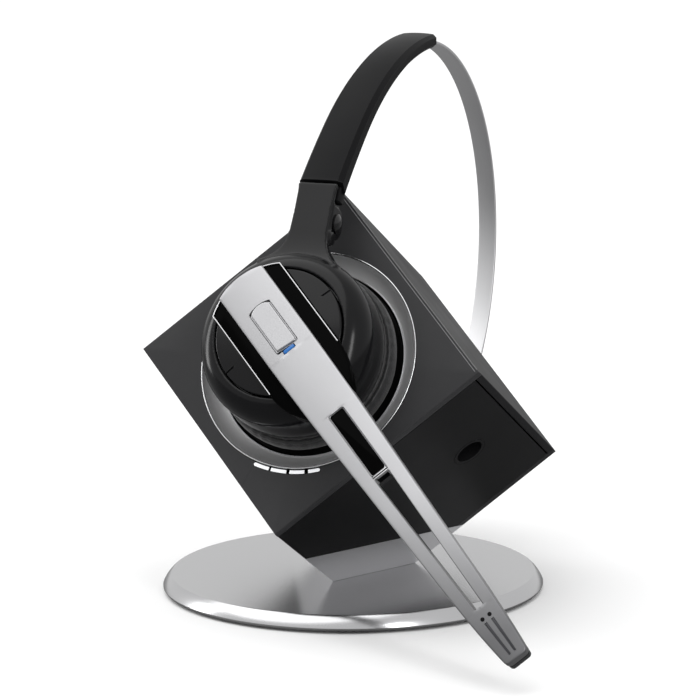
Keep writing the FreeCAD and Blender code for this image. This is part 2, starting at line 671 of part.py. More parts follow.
# ---- boom (boom frame) --------------------------------------------------------------------------
def make_hub_plates():
    """Return the two half-moon plates on either side of the channel."""
    disc = spun([(0, 20.0), (HUB_R, 20.0), (HUB_R, 21.7), ((HUB_R - 0.1, 22.0), (HUB_R - 0.4, 22.15)),
                 ((9.0, 23.2), (0, 23.5))])
    w = CHANNEL_HALF_WIDTH + 0.05
    disc = disc.cut(box(-30, 30, -w, w, 10, 30))
    for sign in (-1, 1):
        y0, y1 = sorted((sign * 14.6, sign * 18.0))
        disc = disc.cut(box(-0.2, 0.2, y0, y1, 21.5, 25.0))
    return disc


def make_hub_spindle():
    """Return the spindle that the boom turns on, with a retaining groove."""
    spindle = rod(SPINDLE_R, (0, 0, 17.7), (0, 0, 19.95))
    spindle = spindle.fuse(rod(7.5, (0, 0, 19.7), (0, 0, 19.98)))
    return spindle.cut(rod(2.0, (0, 0, 17), (0, 0, 21)))


def channel_outline(inset):
    """Return the channel's plan outline, moved inwards by an inset."""
    w = CHANNEL_HALF_WIDTH - inset
    r = CHANNEL_ARC_R - inset
    x0 = -math.sqrt(r * r - w * w)
    x1, x2, w2 = CHANNEL_STRAIGHT_X, CHANNEL_END_X - inset, CHANNEL_END_HALF_WIDTH - inset
    return [(x0, w), (x1, w), ((21.5, w - 1.55), (x2, w2)), (x2, -w2), ((21.5, -w + 1.55), (x1, -w)),
            (x0, -w), ((-r, 0), (x0, w))]


def make_channel_frame():
    """Return the gloss black channel that carries the arm across the hub and its pod beyond the ring."""
    plate = slab(channel_outline(0.0), 22.4, CHANNEL_FLOOR_Z)
    pod = slab(channel_outline(0.0), 19.3, 22.5).cut(rod(24.0, (0, 0, 10), (0, 0, 30)))
    pod = pod.cut(box(-30, 0, -30, 30, 10, 30))
    w = CHANNEL_HALF_WIDTH - 0.05
    core = rod(HUB_R - 0.1, (0, 0, 20.0), (0, 0, 22.5)).common(box(-30, 30, -w, w, 10, 30))
    return joined([plate, pod, core])


def make_channel_trim():
    """Return the thin bright frame around the channel's edge."""
    z0, z1 = CHANNEL_FLOOR_Z, CHANNEL_FLOOR_Z + 0.6
    return slab(channel_outline(0.0), z0, z1).cut(slab(channel_outline(CHANNEL_TRIM_WIDTH), z0 - 1, z1 + 1))


def arm_stations(inset, start_x):
    """Return the (x, half width) stations of the arm beyond a start, moved inwards by an inset."""
    stations = [(x, w - inset) for x, w in ARM_WIDTHS if x > start_x]
    if start_x > 0:
        low = [pair for pair in ARM_WIDTHS if pair[0] <= start_x][-1]
        high = [pair for pair in ARM_WIDTHS if pair[0] > start_x][0]
        share = (start_x - low[0]) / (high[0] - low[0])
        stations.insert(0, (start_x, low[1] + share * (high[1] - low[1]) - inset))
    return stations


def arm_plan(z0, z1, inset, start_x):
    """Return the arm's plan shape: round end about the hub, slow taper, square tip with round corners."""
    widths = arm_stations(inset, start_x)
    upper = Part.BSplineCurve()
    upper.interpolate([Vector(x, w, z0) for x, w in widths])
    lower = Part.BSplineCurve()
    lower.interpolate([Vector(x, -w, z0) for x, w in reversed(widths)])
    tip_x, tip_w = widths[-1]
    end_x = ARM_TIP_X - inset
    tip = path([(tip_x, tip_w, z0), ((end_x - 0.25, tip_w - 0.35, z0), (end_x, tip_w - 1.2, z0)),
                (end_x, -tip_w + 1.2, z0), ((end_x - 0.25, -tip_w + 0.35, z0), (tip_x, -tip_w, z0))])
    first_x, first_w = widths[0]
    if start_x <= 0:
        r = ARM_BACK_R - inset
        x0 = -math.sqrt(r * r - first_w * first_w)
        back = path([(first_x, -first_w, z0), (x0, -first_w, z0), ((-r, 0, z0), (x0, first_w, z0)),
                     (first_x, first_w, z0)])
    else:
        back = path([(first_x, -first_w, z0), (first_x, first_w, z0)])
    wire = Part.Wire([upper.toShape()] + tip + [lower.toShape()] + back)
    return Part.Face(wire).extrude(Vector(0, 0, z1 - z0))


def bend_point(height, x):
    """Return the (x, z) of a layer that starts at a height and follows the arm's gentle inward bend."""
    radius = ARM_BEND_R - (ARM_TOP_Z - height)
    turn = math.asin((x - ARM_BEND_X) / ARM_BEND_R)
    return (ARM_BEND_X + radius * math.sin(turn), ARM_TOP_Z - ARM_BEND_R + radius * math.cos(turn))


def arm_profile(top, bottom, start_x):
    """Return the side profile of an arm layer that bends gently inwards towards the tip (x, z outline)."""
    end = ARM_TIP_X + 2.0
    middle = (ARM_BEND_X + end) / 2.0
    face = outline_face([(start_x, bottom), (start_x, top), (ARM_BEND_X, top),
                         (bend_point(top, middle), bend_point(top, end)), bend_point(bottom, end),
                         (bend_point(bottom, middle), (ARM_BEND_X, bottom))], "xz")
    face.translate(Vector(0, -20, 0))
    return face.extrude(Vector(0, 40, 0))


def window_outline(start_x, end_x, start_w, end_w):
    """Return the window's outline: rounded corners at its near end, square far end."""
    return [(start_x + 0.9, start_w), (end_x, end_w), (end_x, -end_w), (start_x + 0.9, -start_w),
            ((start_x + 0.25, -start_w + 0.6), (start_x, -start_w + 1.4)), (start_x, start_w - 1.4),
            ((start_x + 0.25, start_w - 0.6), (start_x + 0.9, start_w))]


def arm_slot():
    """Return the long slot between the arm's two rails, as a cutter: square near end, round far end."""
    start_x, (start_w, end_w) = WINDOW_END_X - 0.01, SLOT_HALF_WIDTHS
    tip = SLOT_END_X - end_w
    far_end = ((SLOT_END_X, 0), (tip, -end_w))
    return slab([(start_x, start_w), (tip, end_w), far_end, (start_x, -start_w)], 10, 40)


def button_outline(grow):
    """Return the call button's plan outline: bulging outer end, square inner end."""
    x0, x1, w = BUTTON_START_X - grow, BUTTON_END_X + grow, BUTTON_HALF_WIDTH + grow
    c = BUTTON_CORNER_R + grow
    k = c * (1.0 - math.sqrt(0.5))
    xb = x0 + BUTTON_BULGE
    return [(xb + c, w), (x1 - c, w), ((x1 - k, w - k), (x1, w - c)), (x1, -w + c),
            ((x1 - k, -w + k), (x1 - c, -w)), (xb + c, -w), ((xb + k, -w + k), (xb, -w + c)),
            ((x0, 0), (xb, w - c)), ((xb + k, w - k), (xb + c, w))]


def make_boom_arm():
    """Return the silver arm: thin over the hub, deeper beyond it, with its window recess and long slot."""
    plan = arm_plan(15, 30, 0.0, -1.0)
    over_hub = arm_profile(ARM_TOP_Z, ARM_HUB_BOTTOM_Z, -20.0)
    over_hub = over_hub.common(box(-30, ARM_DEEP_X + 0.1, -30, 30, 0, 40))
    beyond = arm_profile(ARM_TOP_Z, ARM_BOTTOM_Z, ARM_DEEP_X)
    arm = plan.common(over_hub.fuse(beyond).removeSplitter())
    arm = rounded_edges(arm, 0.5, is_arm_top_edge)
    arm = arm.cut(slab(button_outline(0.3), 10, 40))
    status_half = STATUS_HALF_WIDTH + 0.05
    arm = arm.cut(box(BUTTON_END_X, STATUS_END_X + 0.05, -status_half, status_half, 10, 40))
    window = window_outline(WINDOW_START_X, WINDOW_END_X, *WINDOW_HALF_WIDTHS)
    arm = arm.cut(slab(window, WINDOW_FLOOR_Z, 30))
    arm = arm.cut(arm_slot())
    arm = arm.cut(box(97.0, 103.6, -3.2, 3.2, 15.0, 23.0))
    for y in MIC_SPOTS_Y:
        arm = arm.cut(rod(0.5, (MIC_X, y, 10), (MIC_X, y, 40)))
        groove = box(MIC_X + 1.1, 109.4, y - 0.16, y + 0.16, 20, 30)
        arm = arm.cut(groove.common(arm_profile(30.0, ARM_TOP_Z - 0.3, 60.0)))
    return arm


def is_arm_top_edge(edge):
    """Tell whether an edge runs around the arm's top face."""
    box_of_edge = edge.BoundBox
    x = edge.CenterOfMass.x
    drop = 0.0 if x < ARM_BEND_X else ARM_TIP_DROP * ((x - ARM_BEND_X) / (ARM_TIP_X - ARM_BEND_X)) ** 2
    flat_enough = box_of_edge.ZLength < ARM_TIP_DROP + 0.2
    crosses = box_of_edge.XLength < 0.01 and abs(x - ARM_BEND_X) < 0.01
    return flat_enough and not crosses and edge.CenterOfMass.z > ARM_TOP_Z - drop - 0.45 and x > -30


def make_boom_back_cover():
    """Return the dark cover under the arm, slotted like it, with a groove for the flat cable."""
    plan = arm_plan(15, 30, 0.25, BACK_COVER_X)
    cover = plan.common(arm_profile(BACK_COVER_TOP_Z, BACK_COVER_BOTTOM_Z, BACK_COVER_X))
    cover = cover.cut(arm_slot())
    groove = arm_profile(30.0, FLEX_GROOVE_Z, BACK_COVER_X).common(box(28.0, 96.5, -3.9, -2.9, 0, 40))
    return cover.cut(groove)


def make_boom_flex():
    """Return the flat cable that runs along one rail of the arm to the microphones."""
    flex = arm_profile(FLEX_GROOVE_Z + 0.3, FLEX_GROOVE_Z + 0.1, BACK_COVER_X + 1.0)
    return flex.common(box(28.2, 96.3, -3.8, -3.0, 0, 40))


def make_mic_capsules():
    """Return the two microphone capsules in the boom's tip."""
    return together([rod(1.45, (100.2, y, 20.5), (100.2, y, 22.8)) for y in (-1.65, 1.65)])


def make_name_window():
    """Return the plain gloss window strip in the arm."""
    return slab(window_outline(WINDOW_START_X + 0.1, 50.2, 2.18, 2.14), WINDOW_FLOOR_Z, 24.9)


def make_window_trim():
    """Return the pair of thin bars that close the window's far end."""
    return together([box(x, x + 0.3, -2.2, 2.2, WINDOW_FLOOR_Z, 25.3) for x in (50.3, 50.9)])


def make_status_led():
    """Return the small lens right beside the call button."""
    half = STATUS_HALF_WIDTH
    return box(BUTTON_END_X + 0.32, STATUS_END_X, -half, half, ARM_HUB_BOTTOM_Z, ARM_TOP_Z + 0.2)


def make_call_button():
    """Return the call button, proud of the arm by its travel."""
    button = slab(button_outline(0.0), BUTTON_BOTTOM_Z, BUTTON_TOP_Z)
    return rounded_edges(button, 0.25, lambda edge: edge.CenterOfMass.z > BUTTON_TOP_Z - 0.01)


# ---- headband (face frame) ----------------------------------------------------------------------
def ring_point(centre, radius, degrees):
    """Return the (y, z) of a point on a band arc; the angle runs from +y towards +z."""
    y, z = polar(radius, degrees)
    return (centre[0] + y, centre[1] + z)


def band_sector(centre, outer, inner, start, end, half_width):
    """Return a piece of curved band in the middle plane."""
    middle = (start + end) / 2.0
    return side_slab([ring_point(centre, inner, start), ring_point(centre, outer, start),
                      (ring_point(centre, outer, middle), ring_point(centre, outer, end)),
                      ring_point(centre, inner, end),
                      (ring_point(centre, inner, middle), ring_point(centre, inner, start))], half_width)


def sleeve_centre():
    """Return the centre (y, z) of the sleeve's upper curve, which the strip also slides around."""
    y, z = polar(SLEEVE_ROOT_R - SLEEVE_R, SLEEVE_TURN_ANGLE)
    return (SLEEVE_ROOT_CENTRE[0] + y, SLEEVE_ROOT_CENTRE[1] + z)


def slide_radius():
    """Return the radius of the arc that the strip slides along: the middle of the sleeve's open end."""
    return SLEEVE_R - SLEEVE_THICKNESSES[1] / 2.0


def sleeve_stations(count):
    """Return (centre, radius, angle, share of the length) for even steps along the sleeve's outer line."""
    root = SLEEVE_ROOT_R * math.radians(SLEEVE_START_ANGLE - SLEEVE_TURN_ANGLE)
    total = root + SLEEVE_R * math.radians(SLEEVE_TURN_ANGLE - SLEEVE_END_ANGLE)
    stations = []
    for step in range(count):
        share = step / (count - 1.0)
        done = share * total
        if done < root:
            angle = SLEEVE_START_ANGLE - math.degrees(done / SLEEVE_ROOT_R)
            stations.append((SLEEVE_ROOT_CENTRE, SLEEVE_ROOT_R, angle, share))
        else:
            angle = SLEEVE_TURN_ANGLE - math.degrees((done - root) / SLEEVE_R)
            stations.append((sleeve_centre(), SLEEVE_R, angle, share))
    return stations


def make_headband_sleeve():
    """Return the curved plastic sleeve, narrowing towards its open end, with the slot for the strip."""
    sections = []
    for centre, outer, angle, share in sleeve_stations(11):
        half = SLEEVE_HALF_WIDTHS[0] + (SLEEVE_HALF_WIDTHS[1] - SLEEVE_HALF_WIDTHS[0]) * share
        inner = outer - SLEEVE_THICKNESSES[0] - (SLEEVE_THICKNESSES[1] - SLEEVE_THICKNESSES[0]) * share
        c = SLEEVE_CHAMFER
        corners = [(-half, inner + c), (-half, outer - c), (-half + 0.9, outer), (0.0, outer + SLEEVE_CROWN),
                   (half - 0.9, outer), (half, outer - c), (half, inner + c), (half - c, inner),
                   (-half + c, inner)]
        points = []
        for x, radius in corners:
            y, z = ring_point(centre, radius, angle)
            points.append(Vector(x, y, z))
        sections.append(Part.makePolygon(points + points[:1]))
    sleeve = Part.makeLoft(sections, True, False)
    skirt = side_slab([(39.8, 8.2), (39.8, 12.3), (46.0, 12.3), (48.0, 9.5), (47.0, 7.9), (44.5, 8.0)], 5.3)
    sleeve = sleeve.fuse(skirt).removeSplitter()
    sleeve = sleeve.cut(box(-4.15, 4.15, 38.0, 44.0, 0, 12.9))
    sleeve = sleeve.cut(box(-10.0, 10.0, 38.0, FORK_TOP_Y + 0.4, 13.0, 30.0))
    outer = slide_radius() + STRIP_THICK / 2.0 + 0.3
    inner = slide_radius() - STRIP_THICK / 2.0 - 0.3
    reach = math.degrees((STRIP_INSERT + 1.0) / slide_radius())
    pocket = band_sector(sleeve_centre(), outer, inner, SLEEVE_END_ANGLE - 4.0, SLEEVE_END_ANGLE + reach,
                         STRIP_WIDTH / 2.0 + 0.3)
    return sleeve.cut(pocket)


def make_hinge_knuckle():
    """Return the hinge block between the cheeks, keyed into the sleeve's lower end."""
    block = side_slab([(PIN_Y - 3.1, PIN_Z), ((PIN_Y, PIN_Z - 3.1), (PIN_Y + 3.1, PIN_Z - 2.3)), (43.9, 8.6),
                       (43.9, 12.2), (PIN_Y + 3.1, 12.4), ((PIN_Y, PIN_Z + 3.1), (PIN_Y - 3.1, PIN_Z))], 4.1)
    return block.cut(rod(PIN_R + PIN_FIT, (-9, PIN_Y, PIN_Z), (9, PIN_Y, PIN_Z)))


def make_headband_strip():
    """Return the steel strip: the part inside the sleeve, a slight bend, then the round band."""
    t = STRIP_THICK / 2.0
    centre, radius = sleeve_centre(), slide_radius()
    reach = math.degrees(STRIP_INSERT / radius)
    inside = band_sector(centre, radius + t, radius - t, SLEEVE_END_ANGLE, SLEEVE_END_ANGLE + reach,
                         STRIP_WIDTH / 2.0)
    a_out = ring_point(centre, radius + t, SLEEVE_END_ANGLE)
    a_in = ring_point(centre, radius - t, SLEEVE_END_ANGLE)
    b_out = ring_point(STRIP_CENTRE, STRIP_R + t, STRIP_JOIN_ANGLE)
    b_in = ring_point(STRIP_CENTRE, STRIP_R - t, STRIP_JOIN_ANGLE)
    bend = side_slab([a_in, a_out, (bend_middle(a_out, b_out), b_out), b_in, (bend_middle(a_in, b_in), a_in)],
                     STRIP_WIDTH / 2.0)
    band = band_sector(STRIP_CENTRE, STRIP_R + t, STRIP_R - t, -STRIP_END_ANGLE - 3.6, STRIP_JOIN_ANGLE,
                       STRIP_WIDTH / 2.0)
    return joined([inside, bend, band])


def bend_middle(start, end):
    """Return a point just outside the chord between two points, on the band's outer side."""
    y = (start[0] + end[0]) / 2.0
    z = (start[1] + end[1]) / 2.0
    length = math.hypot(end[0] - start[0], end[1] - start[1])
    normal = (-(end[1] - start[1]) / length, (end[0] - start[0]) / length)
    bulge = length * length / (8.0 * STRIP_BEND_R)
    return (y + normal[0] * bulge, z + normal[1] * bulge)


def pad_frame():
    """Return the frame at the strip's end: x along the pad, y back up the strip, z towards the head."""
    angle = -STRIP_END_ANGLE
    y, z = ring_point(STRIP_CENTRE, STRIP_R, angle)
    turn = FreeCAD.Rotation(Vector(1, 0, 0), angle + 90.0)
    return FACE_FRAME.multiply(FreeCAD.Placement(Vector(0, y, z), turn))


def make_strip_clip():
    """Return the small clip at the strip's end with two ears for the pad's pivot (pad frame)."""
    clip = box(-5.9, 5.9, -3.6, 3.6, 0.6, 1.05)
    for sign in (-1, 1):
        start, end = sorted((sign * 4.9, sign * 5.9))
        ear = box(start, end, -1.9, 1.9, 0.9, PAD_PIN_Z)
        ear = ear.fuse(rod(1.9, (start, 0, PAD_PIN_Z), (end, 0, PAD_PIN_Z)))
        clip = clip.fuse(ear)
    clip = clip.removeSplitter()
    return clip.cut(rod(PAD_PIN_R, (-9, 0, PAD_PIN_Z), (9, 0, PAD_PIN_Z)))


def make_pad_pin():
    """Return the pad's pivot pin (pad frame)."""
    return rod(PAD_PIN_R, (-6.1, 0, PAD_PIN_Z), (6.1, 0, PAD_PIN_Z))


def make_pad_holder():
    """Return the carrier plate of the temple pad with its pivot barrel (pad frame)."""
    plate = box(-14.0, 14.0, -7.2, 7.2, 5.7, 7.6)
    plate = rounded_edges(plate, 4.0, lambda edge: edge.BoundBox.ZLength > 1.5)
    barrel = rod(1.95, (-4.5, 0, PAD_PIN_Z), (4.5, 0, PAD_PIN_Z))
    web = box(-4.5, 4.5, -1.3, 1.3, PAD_PIN_Z, 5.8)
    holder = joined([plate, barrel, web])
    return holder.cut(rod(PAD_PIN_R + 0.05, (-9, 0, PAD_PIN_Z), (9, 0, PAD_PIN_Z)))


def make_temple_pad():
    """Return the soft pad that rests above the far ear (pad frame)."""
    pad = box(-15.0, 15.0, -8.2, 8.2, 7.6, 14.4)
    pad = rounded_edges(pad, 5.0, lambda edge: edge.BoundBox.ZLength > 5.0)
    return rounded_edges(pad, 2.4, lambda edge: edge.CenterOfMass.z > 14.3)


def build():
    """Write every node's STEP file."""
    os.makedirs("parts", exist_ok=True)
    save("foot_pad", make_foot_pad())
    save("base_disc", make_base_disc())
    save("ballast_plate", make_ballast_plate())
    save("pedestal_bolts", make_pedestal_bolts())
    save("pedestal_wedge", make_pedestal_wedge())
    save("front_panel", make_front_panel(), FACE_FRAME)
    save("upper_cover", placed(make_upper_cover(), DIAMOND_FRAME).common(above_cut()))
    save("lower_cover", make_lower_cover())
    save("recess_cup", make_recess_cup(), DIAMOND_FRAME)
    save("rear_cover", make_rear_cover())
    save("rear_screws", make_rear_screws(), FACE_FRAME)
    save("chassis_tray", make_chassis_tray(), FACE_FRAME)
    save("main_board", make_main_board(), FACE_FRAME)
    save("radio_module", make_radio_module(), FACE_FRAME)
    save("antennas", make_antennas(), DIAMOND_FRAME)
    save("phone_socket", modular_socket(*SOCKET_BLOCKS["phone"], 3.0), FACE_FRAME)
    save("handset_socket", modular_socket(*SOCKET_BLOCKS["handset"], 2.0), FACE_FRAME)
    save("power_jack", make_power_jack(), FACE_FRAME)
    save("usb_socket", make_usb_socket(), FACE_FRAME)
    save("aux_jack", make_aux_jack(), FACE_FRAME)
    save("dock_ring", make_dock_ring(), FACE_FRAME)
    save("dock_rim_trim", make_dock_rim_trim(), FACE_FRAME)
    save("dock_lip_trim", make_dock_lip_trim(), FACE_FRAME)
    save("dock_well", make_dock_well(), FACE_FRAME)
    save("dock_contacts", make_dock_contacts(), FACE_FRAME)
    save("dock_magnets", make_dock_magnets(), FACE_FRAME)
    save("led_light_guides", make_led_light_guides(), FACE_FRAME)
    save("led_board", make_led_board(), FACE_FRAME)
    save("ear_cushion", make_ear_cushion(), FACE_FRAME)
    save("speaker_baffle", make_speaker_baffle(), FACE_FRAME)
    save("contact_pads", make_contact_pads(), FACE_FRAME)
    save("speaker_driver", make_speaker_driver(), FACE_FRAME)
    save("ear_cup_shell", make_ear_cup_shell(), FACE_FRAME)
    save("hub_bearing", make_hub_bearing(), FACE_FRAME)
    save("battery_cell", make_battery_cell(), FACE_FRAME)
    save("headset_board", make_headset_board(), FACE_FRAME)
    save("yoke", make_yoke(), FACE_FRAME)
    save("hinge_pin", make_hinge_pin(), FACE_FRAME)
    save("hub_plates", make_hub_plates(), BOOM_FRAME)
    save("hub_spindle", make_hub_spindle(), BOOM_FRAME)
    save("channel_frame", make_channel_frame(), BOOM_FRAME)
    save("channel_trim", make_channel_trim(), BOOM_FRAME)
    save("boom_arm", make_boom_arm(), BOOM_FRAME)
    save("boom_back_cover", make_boom_back_cover(), BOOM_FRAME)
    save("boom_flex", make_boom_flex(), BOOM_FRAME)
    save("mic_capsules", make_mic_capsules(), BOOM_FRAME)
    save("name_window", make_name_window(), BOOM_FRAME)
    save("window_trim", make_window_trim(), BOOM_FRAME)
    save("status_led", make_status_led(), BOOM_FRAME)
    save("call_button", make_call_button(), BOOM_FRAME)
    save("headband_sleeve", make_headband_sleeve(), FACE_FRAME)
    save("hinge_knuckle", make_hinge_knuckle(), FACE_FRAME)
    save("headband_strip", make_headband_strip(), FACE_FRAME)
    save("strip_clip", make_strip_clip(), pad_frame())
    save("pad_pin", make_pad_pin(), pad_frame())
    save("pad_holder", make_pad_holder(), pad_frame())
    save("temple_pad", make_temple_pad(), pad_frame())


build()
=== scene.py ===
"""Looks of a cordless office headset parked on its charging dock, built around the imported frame.

Lengths in the classes are millimetres and become metres when a mesh is made. "Face frame" means x to the
right, y up the dock's leaning front face and z straight out of it, with its origin at the dock's centre.
"Boom frame" is the face frame turned so that x runs along the microphone boom.
"""

import logging
import math
from collections.abc import Callable, Sequence
from dataclasses import dataclass, field
from enum import Enum
from functools import reduce

import bmesh
import bpy
import numpy as np
from mathutils import Matrix, Vector


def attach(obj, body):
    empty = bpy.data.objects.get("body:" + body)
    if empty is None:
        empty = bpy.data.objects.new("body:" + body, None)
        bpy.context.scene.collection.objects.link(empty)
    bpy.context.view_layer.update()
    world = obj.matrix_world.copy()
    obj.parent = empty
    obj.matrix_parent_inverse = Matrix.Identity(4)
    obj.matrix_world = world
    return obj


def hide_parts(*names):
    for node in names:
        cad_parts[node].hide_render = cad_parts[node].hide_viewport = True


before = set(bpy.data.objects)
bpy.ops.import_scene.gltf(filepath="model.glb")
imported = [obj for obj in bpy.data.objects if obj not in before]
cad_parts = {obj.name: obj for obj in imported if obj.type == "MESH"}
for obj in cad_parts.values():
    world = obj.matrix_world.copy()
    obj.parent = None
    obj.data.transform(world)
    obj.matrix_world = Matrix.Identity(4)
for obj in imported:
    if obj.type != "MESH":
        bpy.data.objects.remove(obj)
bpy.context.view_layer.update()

LOG = logging.getLogger("headset")
MM = 0.001
Colour = tuple[float, float, float]


# ---- frames -------------------------------------------------------------------------------------
@dataclass(frozen=True)
class Frame:
    """A local coordinate frame: an origin in millimetres and three unit axes as rows."""

    origin: np.ndarray
    axes: np.ndarray

    def world(self, points: np.ndarray) -> np.ndarray:
        """Return local millimetre points as world millimetre points."""
        return self.origin + points @ self.axes

    def turned(self, degrees: float) -> "Frame":
        """Return this frame turned about its own z axis.

        Args:
            degrees: The turn, counter-clockwise seen from the front.

        Returns:
            The new frame.
        """
        a = math.radians(degrees)
        turn = np.array([[math.cos(a), math.sin(a), 0.0], [-math.sin(a), math.cos(a), 0.0], [0.0, 0.0, 1.0]])
        return Frame(self.origin, turn @ self.axes)

    def tilted(self, y: float, z: float, degrees: float) -> "Frame":
        """Return the frame at a point of the middle plane, turned about its x axis.

        Args:
            y: Height of the new origin along this frame's y axis.
            z: Distance of the new origin along this frame's z axis.
            degrees: Turn about x.

        Returns:
            The new frame.
        """
        a = math.radians(degrees)
        turn = np.array([[1.0, 0.0, 0.0], [0.0, math.cos(a), math.sin(a)], [0.0, -math.sin(a), math.cos(a)]])
        return Frame(self.world(np.array([0.0, y, z])), turn @ self.axes)


CUBE_SIDE = 67.0
CUBE_CENTRE_HEIGHT = 50.9
FACE_RAKE = math.radians(29.2)
WORLD = Frame(np.zeros(3), np.eye(3))
HALF_SIDE = CUBE_SIDE / 2
FACE = Frame(
    np.array([0.0, -HALF_SIDE * math.cos(FACE_RAKE), CUBE_CENTRE_HEIGHT + HALF_SIDE * math.sin(FACE_RAKE)]),
    np.array([[1.0, 0.0, 0.0], [0.0, math.sin(FACE_RAKE), math.cos(FACE_RAKE)],
              [0.0, -math.cos(FACE_RAKE), math.sin(FACE_RAKE)]]),
)
DIAMOND = FACE.turned(45.0)
BOOM = FACE.turned(-45.0)


# ---- numpy surfaces -----------------------------------------------------------------------------
@dataclass
class Surface:
    """Points in millimetres with their faces, and one (u, v) per point where a pattern follows the shape."""

    points: np.ndarray
    faces: list[tuple[int, ...]]
    uv: np.ndarray | None = None

    def joined(self, other: "Surface") -> "Surface":
        """Return this surface and another as one, without their UVs.

        Args:
            other: The surface to add.

        Returns:
            The joined surface.
        """
        shift = len(self.points)
        faces = self.faces + [tuple(i + shift for i in face) for face in other.faces]
        return Surface(np.vstack([self.points, other.points]), faces)


def union(parts: Sequence[Surface]) -> Surface:
    """Return several surfaces as one."""
    return reduce(Surface.joined, parts)


def grid_faces(rows: int, cols: int, wrap_rows: bool, wrap_cols: bool,
               start: int = 0) -> list[tuple[int, ...]]:
    """Return the quads of a grid of points stored row by row.

    Args:
        rows: Number of rows.
        cols: Number of columns.
        wrap_rows: Join the last row to the first.
        wrap_cols: Join the last column to the first.
        start: Index of the grid's first point.

    Returns:
        The quads as index tuples.
    """
    r = np.arange(rows if wrap_rows else rows - 1)[:, None]
    c = np.arange(cols if wrap_cols else cols - 1)[None, :]
    r1, c1 = (r + 1) % rows, (c + 1) % cols
    quads = np.stack([r * cols + c, r * cols + c1, r1 * cols + c1, r1 * cols + c], axis=-1) + start
    return [tuple(q) for q in quads.reshape(-1, 4).tolist()]


def arc_through(a: Sequence[float], m: Sequence[float], b: Sequence[float], steps: int) -> np.ndarray:
    """Return points on the circle through three points, from a to b by way of m.

    The centre is where the perpendicular bisectors of the two chords meet.

    Args:
        a: Start point (x, y).
        m: A point between.
        b: End point.
        steps: Number of points, ends included.

    Returns:
        An array of points.
    """
    a, m, b = np.array(a), np.array(m), np.array(b)
    lhs = 2 * np.array([m - a, b - a])
    rhs = np.array([m @ m - a @ a, b @ b - a @ a])
    centre = np.linalg.solve(lhs, rhs)
    start, mid, end = (math.atan2(*(p - centre)[::-1]) for p in (a, m, b))
    sweep = (end - start) % (2 * math.pi)
    if (mid - start) % (2 * math.pi) > sweep:
        sweep -= 2 * math.pi
    angle = start + sweep * np.linspace(0, 1, steps)
    return centre + np.linalg.norm(a - centre) * np.stack([np.cos(angle), np.sin(angle)], axis=1)


def rounded_path(corners: Sequence[tuple[float, float, float]], closed: bool, steps: int = 5) -> np.ndarray:
    """Return a path whose corners are replaced by arcs.

    Each corner (x, y, r) is cut back by r * tan(turn / 2) on both sides and joined by points on its arc.

    Args:
        corners: Corner points with their radii.
        closed: The last corner joins the first.
        steps: Points on each arc.

    Returns:
        The path's points.
    """
    pts = np.array([c[:2] for c in corners], float)
    out = []
    count = len(pts)
    for i, (_, _, radius) in enumerate(corners):
        if radius <= 0 or (not closed and i in (0, count - 1)):
            out.append(pts[i][None, :])
            continue
        before, after = pts[i - 1] - pts[i], pts[(i + 1) % count] - pts[i]
        before, after = before / np.linalg.norm(before), after / np.linalg.norm(after)
        half = math.acos(float(np.clip(before @ after, -1, 1))) / 2
        cut = radius / math.tan(half)
        middle = (before + after) / np.linalg.norm(before + after)
        centre = pts[i] + middle * radius / math.sin(half)
        share = np.linspace(0, 1, steps)[:, None]
        chord = (pts[i] + before * cut) * (1 - share) + (pts[i] + after * cut) * share - centre
        out.append(centre + radius * chord / np.linalg.norm(chord, axis=1, keepdims=True))
    return np.vstack(out)


def by_angle(points: np.ndarray) -> np.ndarray:
    """Return points in the order of their angle about the origin, from -180 to 180 degrees."""
    return points[np.argsort(np.arctan2(points[:, 1], points[:, 0]))]


def lathe(profile: np.ndarray, steps: int = 160, closed: bool = True) -> Surface:
    """Return an (r, z) profile turned about z: point(angle, k) = (r_k cos angle, r_k sin angle, z_k).

    Args:
        profile: The points (r, z).
        steps: Number of places round the turn.
        closed: The profile's last point joins its first.

    Returns:
        The surface.
    """
    angle = np.linspace(0, 2 * math.pi, steps, endpoint=False)[:, None]
    r, z = profile[None, :, 0], profile[None, :, 1]
    points = np.stack([r * np.cos(angle), r * np.sin(angle), z + 0 * angle], axis=-1)
    return Surface(points.reshape(-1, 3), grid_faces(steps, len(profile), True, closed))


def loop_normals(loop: np.ndarray) -> np.ndarray:
    """Return the outward mitre at each point of a counter-clockwise closed loop.

    It is the sum of the two sides' normals, scaled so that an inset along it keeps each side's distance.

    Args:
        loop: The loop's points.

    Returns:
        One mitre per point.
    """
    ahead, behind = np.roll(loop, -1, axis=0) - loop, loop - np.roll(loop, 1, axis=0)
    ahead /= np.linalg.norm(ahead, axis=1, keepdims=True) + 1e-12
    behind /= np.linalg.norm(behind, axis=1, keepdims=True) + 1e-12
    n1 = np.stack([ahead[:, 1], -ahead[:, 0]], axis=1)
    n2 = np.stack([behind[:, 1], -behind[:, 0]], axis=1)
    total = n1 + n2
    return total / np.maximum(np.sum(total * n1, axis=1, keepdims=True), 0.2)


